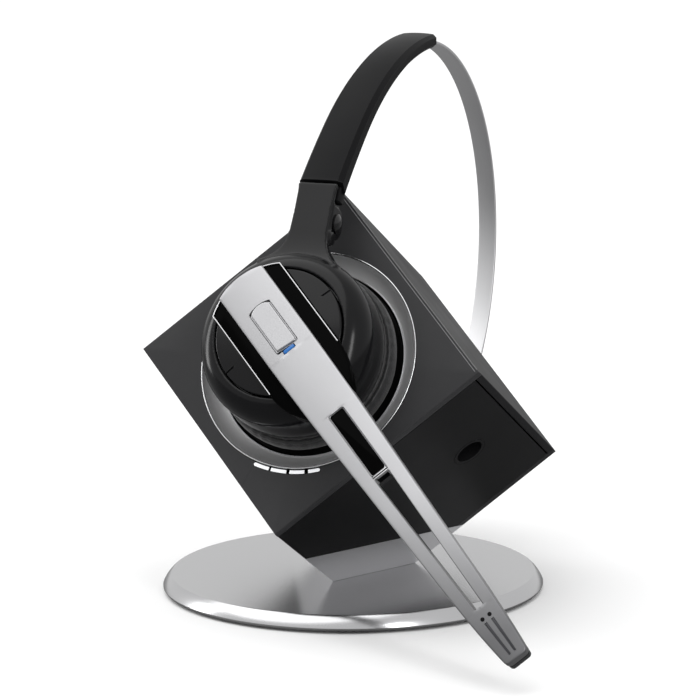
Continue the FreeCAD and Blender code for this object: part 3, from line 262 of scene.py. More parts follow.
def along_loop(loop: np.ndarray, section: np.ndarray, closed: bool) -> Surface:
    """Return a section carried round a closed loop: point = loop - normal * inset, at height z.

    Args:
        loop: Counter-clockwise outline.
        section: Pairs (inset, z).
        closed: The section is a closed tube; otherwise both its ends are capped.

    Returns:
        The surface.
    """
    normal = loop_normals(loop)
    flat = loop[:, None, :] - normal[:, None, :] * section[None, :, 0, None]
    height = np.broadcast_to(section[None, :, 1, None], flat.shape[:2] + (1,))
    points = np.concatenate([flat, height], axis=-1).reshape(-1, 3)
    rows, cols = len(loop), len(section)
    faces = grid_faces(rows, cols, True, closed)
    if not closed:
        ids = np.arange(rows) * cols
        faces.append(tuple((ids[::-1]).tolist()))
        faces.append(tuple((ids + cols - 1).tolist()))
    return Surface(points, faces)


def plate(loop: np.ndarray, z0: float, z1: float, radius: float, foot: float = 0.0) -> Surface:
    """Return a flat plate with a rounded top edge: inset r (1 - cos a) at depth r (1 - sin a) under the top.

    Args:
        loop: Counter-clockwise outline.
        z0: Height of its underside.
        z1: Height of its top.
        radius: Radius of the top edge.
        foot: Chamfer of the bottom edge, or 0 for a sharp one.

    Returns:
        The surface.
    """
    a = np.linspace(0, math.pi / 2, 5)
    top = np.stack([radius * (1 - np.cos(a)), z1 - radius * (1 - np.sin(a))], axis=1)
    low = [[foot, z0], [0.0, z0 + foot]] if foot else [[0.0, z0]]
    return along_loop(loop, np.vstack([low, top]), False)


def swept(section: np.ndarray, path: np.ndarray, wide: np.ndarray, thick: np.ndarray) -> Surface:
    """Return a section carried along a path in the middle plane, capped at both ends.

    point(i, k) = path_i + x_k * wide_i along x, + y_k * thick_i along the path's outward normal.

    Args:
        section: Closed unit section (x, y).
        path: Points (y, z) of the middle plane.
        wide: Scale of the section's x at each path point.
        thick: Scale of the section's y at each path point.

    Returns:
        The surface, with (distance along the path, section share) as its UV.
    """
    ahead = np.gradient(path, axis=0)
    ahead /= np.linalg.norm(ahead, axis=1, keepdims=True)
    out = np.stack([-ahead[:, 1], ahead[:, 0]], axis=1)
    x = section[None, :, 0] * wide[:, None]
    yz = path[:, None, :] + out[:, None, :] * (section[None, :, 1] * thick[:, None])[..., None]
    points = np.concatenate([x[..., None], yz], axis=-1)
    rows, cols = len(path), len(section)
    faces = grid_faces(rows, cols, False, True)
    faces.append(tuple(range(cols)))
    faces.append(tuple(range((rows - 1) * cols, rows * cols))[::-1])
    along = np.concatenate([[0], np.cumsum(np.linalg.norm(np.diff(path, axis=0), axis=1))])
    uv = np.stack(np.broadcast_arrays(along[:, None], section[None, :, 0] * wide[:, None]), axis=-1)
    return Surface(points.reshape(-1, 3), faces, uv.reshape(-1, 2))


def rounded_rectangle(half_x: float, half_y: float, radius: float, steps: int = 5) -> np.ndarray:
    """Return a counter-clockwise rectangle with round corners.

    Args:
        half_x: Half its width.
        half_y: Half its height.
        radius: Radius of the corners.
        steps: Points on each corner.

    Returns:
        The outline's points.
    """
    corners = [(half_x, -half_y, radius), (half_x, half_y, radius), (-half_x, half_y, radius),
               (-half_x, -half_y, radius)]
    return rounded_path(corners, True, steps)


# ---- pieces -------------------------------------------------------------------------------------
def make_piece(name: str, surface: Surface, place: Frame, sharp: float = 35.0) -> bpy.types.Object:
    """Return a mesh object from a local surface, welded, with its normals outwards and in metres.

    Args:
        name: Name of the piece.
        surface: The local surface in millimetres.
        place: The frame that it is drawn in.
        sharp: Edges that turn more than this many degrees shade as edges.

    Returns:
        The new object.
    """
    mesh = bpy.data.meshes.new(name)
    mesh.from_pydata((place.world(surface.points) * MM).tolist(), [], surface.faces)
    if surface.uv is not None:
        layer = mesh.uv_layers.new(name="along")
        ids = np.empty(len(mesh.loops), np.int32)
        mesh.loops.foreach_get("vertex_index", ids)
        layer.data.foreach_set("uv", surface.uv[ids].astype(np.float32).ravel())
    return finished(name, mesh, sharp)


def finished(name: str, mesh: bpy.types.Mesh, sharp: float) -> bpy.types.Object:
    """Weld a mesh, turn its normals outwards, set its shading and return it as an object.

    Args:
        name: Name of the piece.
        mesh: The mesh, in metres.
        sharp: Edges that turn more than this many degrees shade as edges.

    Returns:
        The new object.
    """
    work = bmesh.new()
    work.from_mesh(mesh)
    bmesh.ops.remove_doubles(work, verts=work.verts, dist=1e-6)
    bmesh.ops.dissolve_degenerate(work, edges=work.edges, dist=1e-7)
    bmesh.ops.recalc_face_normals(work, faces=work.faces)
    work.to_mesh(mesh)
    work.free()
    mesh.shade_smooth()
    mesh.set_sharp_from_angle(angle=math.radians(sharp))
    piece = bpy.data.objects.new(name, mesh)
    bpy.context.scene.collection.objects.link(piece)
    return piece


def softened(node: str, bevel: float, name: str) -> bpy.types.Object:
    """Return a copy of a CAD node with its flat faces whole and its edges rounded by a small bevel.

    Args:
        node: The CAD node to copy.
        bevel: Edge width in millimetres.
        name: Name of the piece.

    Returns:
        The new object, which stands for the node.
    """
    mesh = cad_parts[node].data.copy()
    mesh.name = name
    mesh.materials.clear()
    work = bmesh.new()
    work.from_mesh(mesh)
    bmesh.ops.remove_doubles(work, verts=work.verts, dist=1e-6)
    bmesh.ops.dissolve_limit(work, angle_limit=math.radians(0.5), verts=work.verts, edges=work.edges)
    work.to_mesh(mesh)
    work.free()
    piece = finished(name, mesh, 30.0)
    rounding = piece.modifiers.new("edge", "BEVEL")
    rounding.width = bevel * MM
    rounding.segments = 3
    rounding.limit_method = "ANGLE"
    rounding.angle_limit = math.radians(35.0)
    rounding.harden_normals = True
    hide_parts(node)
    return piece


def blended(node: str, voxel: float, smoothing: int, name: str) -> bpy.types.Object:
    """Return a copy of a CAD node remeshed and relaxed, so that its parts flow into each other.

    Args:
        node: The CAD node to copy.
        voxel: Remesh size in millimetres.
        smoothing: Number of relaxing passes.
        name: Name of the piece.

    Returns:
        The new object, which stands for the node.
    """
    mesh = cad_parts[node].data.copy()
    mesh.materials.clear()
    draft = finished(name + "_draft", mesh, 180.0)
    remesh = draft.modifiers.new("remesh", "REMESH")
    remesh.mode = "VOXEL"
    remesh.voxel_size = voxel * MM
    relax = draft.modifiers.new("relax", "SMOOTH")
    relax.factor = 0.5
    relax.iterations = smoothing
    evaluated = draft.evaluated_get(bpy.context.evaluated_depsgraph_get())
    result = bpy.data.meshes.new_from_object(evaluated)
    result.name = name
    bpy.data.objects.remove(draft)
    piece = finished(name, result, 60.0)
    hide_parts(node)
    return piece


# ---- shared shader effects ----------------------------------------------------------------------
class Effect(Enum):
    """The node groups that several finishes share."""

    GRAIN = "moulded_grain"
    TURNED = "turned_grain"
    BRUSHED = "brushed_grain"
    HIDE = "hide_grain"
    WEAR = "edge_wear"
    DUST = "settled_dust"
    TIP_SHADE_REACH = "painted_tip_shade_reach"


class NodeTree:
    """A thin helper that adds and joins shader nodes in one tree."""

    def __init__(self, tree: bpy.types.NodeTree) -> None:
        """Keep the tree."""
        self.tree = tree

    def add(self, kind: str, **settings: object) -> bpy.types.Node:
        """Add a node and set its properties.

        Args:
            kind: The node's type.
            **settings: Its properties.

        Returns:
            The node.
        """
        node = self.tree.nodes.new(kind)
        for key, value in settings.items():
            setattr(node, key, value)
        return node

    def join(self, source: bpy.types.NodeSocket, target: bpy.types.NodeSocket) -> None:
        """Link two sockets."""
        self.tree.links.new(source, target)

    def math(self, kind: str, first: object, second: object = 0.0) -> bpy.types.NodeSocket:
        """Add a Math node.

        Args:
            kind: The operation.
            first: A socket or a number.
            second: A socket or a number.

        Returns:
            The result's socket.
        """
        node = self.add("ShaderNodeMath", operation=kind)
        for socket, value in zip(node.inputs, (first, second)):
            if isinstance(value, bpy.types.NodeSocket):
                self.join(value, socket)
            else:
                socket.default_value = value
        return node.outputs[0]

    def ramp(self, source: bpy.types.NodeSocket, low: float, high: float) -> bpy.types.NodeSocket:
        """Map a range to 0..1, held within it.

        Args:
            source: The value's socket.
            low: The value that gives 0.
            high: The value that gives 1.

        Returns:
            The result's socket.
        """
        node = self.add("ShaderNodeMapRange")
        self.join(source, node.inputs["Value"])
        node.inputs["From Min"].default_value = low
        node.inputs["From Max"].default_value = high
        return node.outputs["Result"]

    def mix(self, share: bpy.types.NodeSocket, first: object, second: object) -> bpy.types.NodeSocket:
        """Mix two colours.

        Args:
            share: How much of the second colour shows.
            first: A socket or a colour.
            second: A socket or a colour.

        Returns:
            The colour's socket.
        """
        node = self.add("ShaderNodeMix", data_type="RGBA")
        self.join(share, node.inputs["Factor"])
        for socket, value in ((node.inputs[6], first), (node.inputs[7], second)):
            if isinstance(value, bpy.types.NodeSocket):
                self.join(value, socket)
            else:
                socket.default_value = (*value, 1.0)
        return node.outputs[2]


def new_group(effect: Effect, inputs: dict[str, float | Colour], outputs: dict[str, str]) -> tuple[
        bpy.types.NodeTree, NodeTree, bpy.types.Node, bpy.types.Node]:
    """Make an empty node group with named sockets.

    Args:
        effect: Which effect it is.
        inputs: Input names with default numbers or colours.
        outputs: Output names with their socket types.

    Returns:
        The group, its helper, its input node and its output node.
    """
    group = bpy.data.node_groups.new(effect.value, "ShaderNodeTree")
    for name, default in inputs.items():
        is_colour = isinstance(default, tuple)
        kind = "NodeSocketColor" if is_colour else "NodeSocketFloat"
        socket = group.interface.new_socket(name=name, in_out="INPUT", socket_type=kind)
        socket.default_value = (*default, 1.0) if is_colour else default
    for name, kind in outputs.items():
        group.interface.new_socket(name=name, in_out="OUTPUT", socket_type=kind)
    help_ = NodeTree(group)
    return group, help_, help_.add("NodeGroupInput"), help_.add("NodeGroupOutput")


def bumped(tree: NodeTree, height: bpy.types.NodeSocket, strength: bpy.types.NodeSocket,
           distance: float) -> bpy.types.NodeSocket:
    """Add a bump.

    Args:
        tree: The helper to add it with.
        height: Socket of the height.
        strength: Socket of the strength.
        distance: Depth of a full height, in metres.

    Returns:
        The normal's socket.
    """
    bump = tree.add("ShaderNodeBump")
    bump.inputs["Distance"].default_value = distance
    tree.join(strength, bump.inputs["Strength"])
    tree.join(height, bump.inputs["Height"])
    return bump.outputs["Normal"]


def noise(tree: NodeTree, vector: bpy.types.NodeSocket, scale: object, detail: float,
          rough: float = 0.5) -> bpy.types.NodeSocket:
    """Add a noise texture.

    Args:
        tree: The helper to add it with.
        vector: Socket of the place.
        scale: A socket or a number.
        detail: Number of octaves.
        rough: How strong the finer octaves are.

    Returns:
        The value's socket.
    """
    node = tree.add("ShaderNodeTexNoise")
    tree.join(vector, node.inputs["Vector"])
    if isinstance(scale, bpy.types.NodeSocket):
        tree.join(scale, node.inputs["Scale"])
    else:
        node.inputs["Scale"].default_value = scale
    node.inputs["Detail"].default_value = detail
    node.inputs["Roughness"].default_value = rough
    return node.outputs["Fac"]


def build_grain() -> bpy.types.NodeTree:
    """Make the fine pebble of a moulded surface: two noises give a height and a roughness that wanders."""
    group, t, ins, outs = new_group(
        Effect.GRAIN, {"Scale": 4000.0, "Depth": 0.3, "Roughness": 0.4, "Wander": 0.06},
        {"Roughness": "NodeSocketFloat", "Normal": "NodeSocketVector"})
    where = t.add("ShaderNodeTexCoord").outputs["Object"]
    fine = noise(t, where, ins.outputs["Scale"], 2.0)
    broad = noise(t, where, 55.0, 3.0)
    swing = t.math("MULTIPLY", t.math("SUBTRACT", t.math("ADD", broad, t.math("MULTIPLY", fine, 0.4)), 0.7),
                   ins.outputs["Wander"])
    t.join(t.math("ADD", ins.outputs["Roughness"], t.math("MULTIPLY", swing, 2.0)), outs.inputs["Roughness"])
    t.join(bumped(t, fine, ins.outputs["Depth"], 0.00002), outs.inputs["Normal"])
    return group


def build_turned() -> bpy.types.NodeTree:
    """Make concentric tool marks: noise of the distance from the object's z axis only."""
    group, t, ins, outs = new_group(
        Effect.TURNED, {"Density": 2600.0, "Depth": 0.2, "Roughness": 0.3, "Wander": 0.08},
        {"Roughness": "NodeSocketFloat", "Normal": "NodeSocketVector", "Streak": "NodeSocketFloat"})
    split = t.add("ShaderNodeSeparateXYZ")
    t.join(t.add("ShaderNodeTexCoord").outputs["Object"], split.inputs[0])
    x2 = t.math("MULTIPLY", split.outputs["X"], split.outputs["X"])
    y2 = t.math("MULTIPLY", split.outputs["Y"], split.outputs["Y"])
    radius = t.math("SQRT", t.math("ADD", x2, y2))
    across = t.add("ShaderNodeCombineXYZ")
    t.join(radius, across.inputs["X"])
    t.join(t.math("MULTIPLY", split.outputs["Z"], 0.4), across.inputs["Y"])
    rings = noise(t, across.outputs[0], ins.outputs["Density"], 2.0, 0.7)
    swing = t.math("MULTIPLY", t.math("SUBTRACT", rings, 0.5), ins.outputs["Wander"])
    t.join(t.math("ADD", ins.outputs["Roughness"], swing), outs.inputs["Roughness"])
    t.join(bumped(t, rings, ins.outputs["Depth"], 0.00001), outs.inputs["Normal"])
    t.join(rings, outs.inputs["Streak"])
    return group


def build_brushed() -> bpy.types.NodeTree:
    """Make lines along the piece's own length: noise stretched along the first axis of its UV."""
    group, t, ins, outs = new_group(
        Effect.BRUSHED, {"Across": 14.0, "Depth": 0.25, "Roughness": 0.3, "Wander": 0.12},
        {"Roughness": "NodeSocketFloat", "Normal": "NodeSocketVector", "Streak": "NodeSocketFloat"})
    split = t.add("ShaderNodeSeparateXYZ")
    t.join(t.add("ShaderNodeUVMap", uv_map="along").outputs["UV"], split.inputs[0])
    where = t.add("ShaderNodeCombineXYZ")
    t.join(t.math("MULTIPLY", split.outputs["X"], 0.06), where.inputs["X"])
    t.join(t.math("MULTIPLY", split.outputs["Y"], ins.outputs["Across"]), where.inputs["Y"])
    lines = noise(t, where.outputs[0], 1.0, 3.0, 0.65)
    swing = t.math("MULTIPLY", t.math("SUBTRACT", lines, 0.5), ins.outputs["Wander"])
    t.join(t.math("ADD", ins.outputs["Roughness"], swing), outs.inputs["Roughness"])
    t.join(bumped(t, lines, ins.outputs["Depth"], 0.00001), outs.inputs["Normal"])
    t.join(lines, outs.inputs["Streak"])
    return group


def build_hide() -> bpy.types.NodeTree:
    """Make leatherette: cell borders for the grain, and a slow noise for soft creases."""
    group, t, ins, outs = new_group(
        Effect.HIDE, {"Scale": 1500.0, "Depth": 0.5, "Roughness": 0.5},
        {"Roughness": "NodeSocketFloat", "Normal": "NodeSocketVector", "Pores": "NodeSocketFloat"})
    where = t.add("ShaderNodeTexCoord").outputs["Object"]
    cells = t.add("ShaderNodeTexVoronoi", feature="DISTANCE_TO_EDGE")
    t.join(where, cells.inputs["Vector"])
    t.join(ins.outputs["Scale"], cells.inputs["Scale"])
    raised = t.ramp(cells.outputs["Distance"], 0.02, 0.28)
    creases = noise(t, where, 420.0, 4.0, 0.6)
    height = t.math("ADD", raised, t.math("MULTIPLY", creases, 1.2))
    t.join(bumped(t, height, ins.outputs["Depth"], 0.00006), outs.inputs["Normal"])
    smoother = t.math("MULTIPLY", raised, 0.12)
    t.join(t.math("SUBTRACT", ins.outputs["Roughness"], smoother), outs.inputs["Roughness"])
    t.join(raised, outs.inputs["Pores"])
    return group


def build_wear() -> bpy.types.NodeTree:
    """Make edges a little lighter: how far a bevelled normal turns from the true one, broken by noise."""
    group, t, ins, outs = new_group(
        Effect.WEAR, {"Colour": (0.1, 0.1, 0.1), "Worn": (0.3, 0.3, 0.3), "Amount": 0.4},
        {"Colour": "NodeSocketColor"})
    bevel = t.add("ShaderNodeBevel", samples=4)
    bevel.inputs["Radius"].default_value = 0.00035
    dot = t.add("ShaderNodeVectorMath", operation="DOT_PRODUCT")
    t.join(bevel.outputs["Normal"], dot.inputs[0])
    t.join(t.add("ShaderNodeNewGeometry").outputs["True Normal"], dot.inputs[1])
    edge = t.ramp(t.math("SUBTRACT", 1.0, dot.outputs["Value"]), 0.01, 0.2)
    patch = noise(t, t.add("ShaderNodeTexCoord").outputs["Object"], 700.0, 3.0)
    share = t.math("MULTIPLY", t.math("MULTIPLY", edge, patch), ins.outputs["Amount"])
    t.join(t.mix(share, ins.outputs["Colour"], ins.outputs["Worn"]), outs.inputs["Colour"])
    return group


def build_dust() -> bpy.types.NodeTree:
    """Make settled dust: upward faces lighten in soft patches, never downward ones."""
    group, t, ins, outs = new_group(
        Effect.DUST, {"Colour": (0.1, 0.1, 0.1), "Dust": (0.45, 0.44, 0.42), "Amount": 0.05},
        {"Colour": "NodeSocketColor"})
    split = t.add("ShaderNodeSeparateXYZ")
    t.join(t.add("ShaderNodeNewGeometry").outputs["Normal"], split.inputs[0])
    up = t.ramp(split.outputs["Z"], 0.2, 1.0)
    patch = noise(t, t.add("ShaderNodeTexCoord").outputs["Object"], 120.0, 5.0, 0.6)
    share = t.math("MULTIPLY", t.math("MULTIPLY", up, patch), ins.outputs["Amount"])
    t.join(t.mix(share, ins.outputs["Colour"], ins.outputs["Dust"]), outs.inputs["Colour"])
    return group


def build_tip_shade_reach() -> bpy.types.NodeTree:
    """Measure along the boom from its hub, in metres: 0 up to the start, rising evenly to 1 at the end; it
    masks the painted shade towards the boom's tip.
    """
    group, t, ins, outs = new_group(Effect.TIP_SHADE_REACH, {"Start": 0.05, "End": 0.11}, {"Share": "NodeSocketFloat"})
    dot = t.add("ShaderNodeVectorMath", operation="DOT_PRODUCT")
    t.join(t.add("ShaderNodeTexCoord").outputs["Object"], dot.inputs[0])
    dot.inputs[1].default_value = tuple(BOOM.axes[0])
    along = t.math("SUBTRACT", dot.outputs["Value"], float(BOOM.origin @ BOOM.axes[0]) * MM)
    run = t.math("SUBTRACT", ins.outputs["End"], ins.outputs["Start"])
    share = t.math("DIVIDE", t.math("SUBTRACT", along, ins.outputs["Start"]), run)
    t.join(t.math("MINIMUM", t.math("MAXIMUM", share, 0.0), 1.0), outs.inputs["Share"])
    return group


BUILDERS: dict[Effect, Callable[[], bpy.types.NodeTree]] = {
    Effect.GRAIN: build_grain, Effect.TURNED: build_turned, Effect.BRUSHED: build_brushed,
    Effect.HIDE: build_hide, Effect.WEAR: build_wear, Effect.DUST: build_dust, Effect.TIP_SHADE_REACH: build_tip_shade_reach}


class EffectShelf:
    """Builds each shared effect once and hands it out."""

    def __init__(self) -> None:
        """Start with no groups."""
        self.groups: dict[Effect, bpy.types.NodeTree] = {}

    def place(self, tree: NodeTree, effect: Effect, **values: float | Colour) -> bpy.types.Node:
        """Put an effect in a material with its own values.

        Args:
            tree: The material's helper.
            effect: Which effect.
            **values: Input values, with underscores for spaces.

        Returns:
            The group node.
        """
        if effect not in self.groups:
            self.groups[effect] = BUILDERS[effect]()
        node = tree.add("ShaderNodeGroup", node_tree=self.groups[effect])
        for key, value in values.items():
            socket = node.inputs[key.replace("_", " ").title()]
            socket.default_value = (*value, 1.0) if isinstance(value, tuple) else value
        return node


SHELF = EffectShelf()


# ---- finishes -----------------------------------------------------------------------------------
MADE: dict[str, bpy.types.Material] = {}


@dataclass(frozen=True)
class Finish:
    """A named surface finish; subclasses say how its nodes are joined."""

    name: str
    colour: Colour

    def nodes(self, t: NodeTree, shader: bpy.types.Node) -> None:
        """Join this finish's nodes to the shader; the plain one only sets the colour."""
        shader.inputs["Base Color"].default_value = (*self.colour, 1.0)

    def material(self) -> bpy.types.Material:
        """Return the finish's material, made on first use."""
        made = MADE.get(self.name)
        if made is None:
            made = MADE[self.name] = bpy.data.materials.new(self.name + "_finish")
            made.use_nodes = True
            made.node_tree.nodes.clear()
            t = NodeTree(made.node_tree)
            shader = t.add("ShaderNodeBsdfPrincipled")
            out = t.add("ShaderNodeOutputMaterial")
            t.join(shader.outputs[0], out.inputs["Surface"])
            self.nodes(t, shader)
            made.diffuse_color = (*self.colour, 1.0)
        return made


@dataclass(frozen=True)
class Plastic(Finish):
    """Moulded plastic with a fine pebble, faint dust on top and slightly rubbed edges."""

    rough: float = 0.4
    grain: float = 3800.0
    depth: float = 0.25
    wear: float = 0.35
    dust: float = 0.04
    coat: float = 0.0
    specular: float = 0.5

    def nodes(self, t: NodeTree, shader: bpy.types.Node) -> None:
        """Join wear, then dust, to the colour, and the grain to roughness and normal."""
        worn = tuple(min(1.0, c * 2.2 + 0.05) for c in self.colour)
        wear = SHELF.place(t, Effect.WEAR, colour=self.colour, worn=worn, amount=self.wear)
        dust = SHELF.place(t, Effect.DUST, amount=self.dust)
        t.join(wear.outputs["Colour"], dust.inputs["Colour"])
        t.join(dust.outputs["Colour"], shader.inputs["Base Color"])
        grain = SHELF.place(t, Effect.GRAIN, scale=self.grain, depth=self.depth, roughness=self.rough)
        t.join(grain.outputs["Roughness"], shader.inputs["Roughness"])
        t.join(grain.outputs["Normal"], shader.inputs["Normal"])
        shader.inputs["Coat Weight"].default_value = self.coat
        shader.inputs["Coat Roughness"].default_value = 0.03
        shader.inputs["Specular IOR Level"].default_value = self.specular


@dataclass(frozen=True)
class Metal(Finish):
    """Bare or painted metal with a grain of its own kind.

    A tip shade colour, where there is one, takes over between two distances along the boom, in metres:
    painted shade that darkens the boom towards its tip.
    """

    rough: float = 0.3
    grain: Effect = Effect.GRAIN
    density: float = 2600.0
    depth: float = 0.2
    wander: float = 0.08
    metallic: float = 1.0
    contrast: float = 0.12
    tip_shade_colour: Colour | None = None
    tip_shade_start: float = 0.062
    tip_shade_end: float = 0.104

    def nodes(self, t: NodeTree, shader: bpy.types.Node) -> None:
        """Join the grain's roughness and normal; its streaks, or the painted shade towards the boom's tip,
        set the colour.
        """
        shader.inputs["Metallic"].default_value = self.metallic
        if self.grain is Effect.GRAIN:
            node = SHELF.place(t, self.grain, scale=self.density, depth=self.depth, roughness=self.rough,
                               wander=self.wander)
            dust = SHELF.place(t, Effect.DUST, colour=self.colour, amount=0.03)
            if self.tip_shade_colour is not None:
                # Painted shade: the colour darkens towards the boom's tip.
                reach = SHELF.place(t, Effect.TIP_SHADE_REACH, start=self.tip_shade_start, end=self.tip_shade_end)
                t.join(t.mix(reach.outputs["Share"], self.colour, self.tip_shade_colour), dust.inputs["Colour"])
            t.join(dust.outputs["Colour"], shader.inputs["Base Color"])
        else:
            key = "density" if self.grain is Effect.TURNED else "across"
            node = SHELF.place(t, self.grain, depth=self.depth, roughness=self.rough, wander=self.wander,
                               **{key: self.density})
            dark = tuple(c * (1.0 - self.contrast) for c in self.colour)
            t.join(t.mix(node.outputs["Streak"], dark, self.colour), shader.inputs["Base Color"])
        t.join(node.outputs["Roughness"], shader.inputs["Roughness"])
        t.join(node.outputs["Normal"], shader.inputs["Normal"])


@dataclass(frozen=True)
class Leatherette(Finish):
    """Soft coated cloth with pores and shallow creases."""

    rough: float = 0.5

    def nodes(self, t: NodeTree, shader: bpy.types.Node) -> None:
        """Join the hide grain, with darker pores."""
        hide = SHELF.place(t, Effect.HIDE, roughness=self.rough)
        dark = tuple(c * 0.45 for c in self.colour)
        t.join(t.mix(hide.outputs["Pores"], dark, self.colour), shader.inputs["Base Color"])
        t.join(hide.outputs["Roughness"], shader.inputs["Roughness"])
        t.join(hide.outputs["Normal"], shader.inputs["Normal"])
        shader.inputs["Sheen Weight"].default_value = 0.15


@dataclass(frozen=True)
class Paper(Finish):
    """The studio's floor: pale paper to the eye, with a darker grey painted into the object's reflections of
    it: a painted reflection.
    """

    painted_reflection_grey: Colour = (0.22, 0.22, 0.22)

    def nodes(self, t: NodeTree, shader: bpy.types.Node) -> None:
        """Join the pale colour to the eye's rays, a painted darker grey to mirror rays, and a matt uneven
        roughness.
        """
        ray = t.add("ShaderNodeLightPath")
        # Painted reflection: mirror rays see the floor darker grey than the eye does.
        t.join(t.mix(ray.outputs["Is Glossy Ray"], self.colour, self.painted_reflection_grey), shader.inputs["Base Color"])
        grain = SHELF.place(t, Effect.GRAIN, scale=60.0, depth=0.0, roughness=0.7)
        t.join(grain.outputs["Roughness"], shader.inputs["Roughness"])
        shader.inputs["Specular IOR Level"].default_value = 0.15


@dataclass(frozen=True)
class Lens(Finish):
    """A lit lens: a milky body with a glow that is a little uneven."""

    glow: float = 0.5

    def nodes(self, t: NodeTree, shader: bpy.types.Node) -> None:
        """Join a slow noise to the glow's colour."""
        where = t.add("ShaderNodeTexCoord").outputs["Object"]
        dim = tuple(c * 0.8 for c in self.colour)
        tint = t.mix(noise(t, where, 260.0, 2.0), dim, self.colour)
        t.join(tint, shader.inputs["Base Color"])
        t.join(tint, shader.inputs["Emission Color"])
        shader.inputs["Emission Strength"].default_value = self.glow
        shader.inputs["Roughness"].default_value = 0.22
        shader.inputs["Coat Weight"].default_value = 0.5


# Its raised wear lightens the panel's edges: partly rubbed wear, partly a painted highlight along the edges.
PANEL = Plastic("panel_dark_grey", (0.023, 0.023, 0.0245), rough=0.42, wear=0.6, specular=0.20)
# Lighter grey of the thin strips along one edge of the panel: a painted highlight.
EDGE_HIGHLIGHT = Plastic("panel_edge_painted_highlight", (0.16, 0.16, 0.165), rough=0.35, specular=0.5)
COVER = Plastic("cover_dark_grey", (0.008, 0.008, 0.009), rough=0.40, dust=0.01, specular=0.10)
LOWER = Plastic("lower_black", (0.006, 0.006, 0.0065), rough=0.40, wear=0.2, dust=0.0, specular=0.10)
REAR = Plastic("rear_black", (0.012, 0.012, 0.013), rough=0.45, specular=0.25)
YOKE = Plastic("yoke_soft_black", (0.003, 0.003, 0.0035), rough=0.17, grain=5200.0, depth=0.06, dust=0.01,
               specular=0.22)
SLEEVE = Plastic("sleeve_black", (0.004, 0.004, 0.0045), rough=0.42, grain=5200.0, depth=0.15, dust=0.0,
                 specular=0.09)
SHELL = Plastic("shell_black", (0.004, 0.004, 0.0045), rough=0.16, dust=0.01, specular=0.45)
INNER = Plastic("inner_black", (0.03, 0.03, 0.03), rough=0.6)
WELL = Plastic("well_black", (0.003, 0.003, 0.003), rough=0.3, dust=0.0, wear=0.0, specular=0.1)
GLOSS = Plastic("gloss_black", (0.001, 0.001, 0.001), rough=0.10, grain=900.0, depth=0.02, wear=0.0, dust=0.0,
                specular=0.02)
RUBBER = Plastic("foot_rubber", (0.02, 0.02, 0.02), rough=0.85, depth=0.8)
BOARD = Plastic("board_green", (0.01, 0.09, 0.04), rough=0.35, dust=0.0)
WRAP = Plastic("battery_wrap", (0.08, 0.09, 0.14), rough=0.3)
AMBER = Plastic("cable_amber", (0.35, 0.15, 0.03), rough=0.3)
DISC = Metal("disc_satin", (0.62, 0.62, 0.63), rough=0.22, grain=Effect.TURNED, density=2600.0, depth=0.12)
WEDGE = Metal("wedge_satin", (0.74, 0.74, 0.75), rough=0.36, density=2400.0, depth=0.2)
DISH = Metal("dock_satin", (0.66, 0.66, 0.665), rough=0.44, density=3200.0, depth=0.2, metallic=0.7)
LIP = Metal("dock_lip", (0.40, 0.40, 0.41), rough=0.30, density=3200.0, depth=0.1)
CHROME = Metal("bright_trim", (0.62, 0.62, 0.63), rough=0.22, density=800.0, depth=0.02, wander=0.02)
# The arm darkens to its tip shade colour towards the tip: painted shade, not a change of finish.
ARM = Metal("arm_silver", (0.43, 0.43, 0.44), rough=0.36, density=6500.0, depth=0.18, metallic=0.85,
            tip_shade_colour=(0.17, 0.17, 0.175))
BUTTON = Metal("button_silver", (0.43, 0.43, 0.44), rough=0.30, density=6500.0, depth=0.12, metallic=0.85)
STEEL = Metal("strip_steel", (0.74, 0.74, 0.75), rough=0.48, grain=Effect.BRUSHED, density=9.0, depth=0.3)
DARK_STEEL = Metal("dark_steel", (0.07, 0.07, 0.075), rough=0.35)
PLAIN_STEEL = Metal("plain_steel", (0.45, 0.45, 0.46), rough=0.35)
GOLD = Metal("contact_gold", (0.85, 0.60, 0.25), rough=0.2)
BRASS = Metal("antenna_brass", (0.65, 0.45, 0.18), rough=0.35)
HIDE = Leatherette("cushion_leatherette", (0.014, 0.014, 0.015))
WHITE_LENS = Lens("indicator_white", (0.90, 0.91, 0.93), glow=0.35)
BLUE_LENS = Lens("status_blue", (0.001, 0.10, 0.34), glow=0.25)


def dress(piece: bpy.types.Object, finish: Finish, body: str | None = None) -> None:
    """Give a piece its finish and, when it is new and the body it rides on.

    Args:
        piece: The object.
        finish: Its finish.
        body: CAD body, or None for a CAD node.
    """
    piece.data.materials.clear()
    piece.data.materials.append(finish.material())
    if body is not None:
        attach(piece, body)
    LOG.info("%s: %d points, %s", piece.name, len(piece.data.vertices), finish.name)


def dress_part(piece: bpy.types.Object, finish: Finish, place: Frame,
               wanted: Callable[[np.ndarray], np.ndarray]) -> None:
    """Give some of a piece's faces a second finish.

    Args:
        piece: The object.
        finish: The second finish.
        place: The frame in which the faces' centres are measured, in millimetres.
        wanted: Says of the centres which faces take it.
    """
    polygons = piece.data.polygons
    centres = np.empty(len(polygons) * 3, np.float32)
    polygons.foreach_get("center", centres)
    local = (centres.reshape(-1, 3) / MM - place.origin) @ place.axes.T
    piece.data.materials.append(finish.material())
    polygons.foreach_set("material_index", wanted(local).astype(np.int32))


def dress_nodes(finish: Finish, *nodes: str) -> None:
    """Give CAD nodes that stay as they are a procedural finish."""
    for node in nodes:
        dress(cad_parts[node], finish)


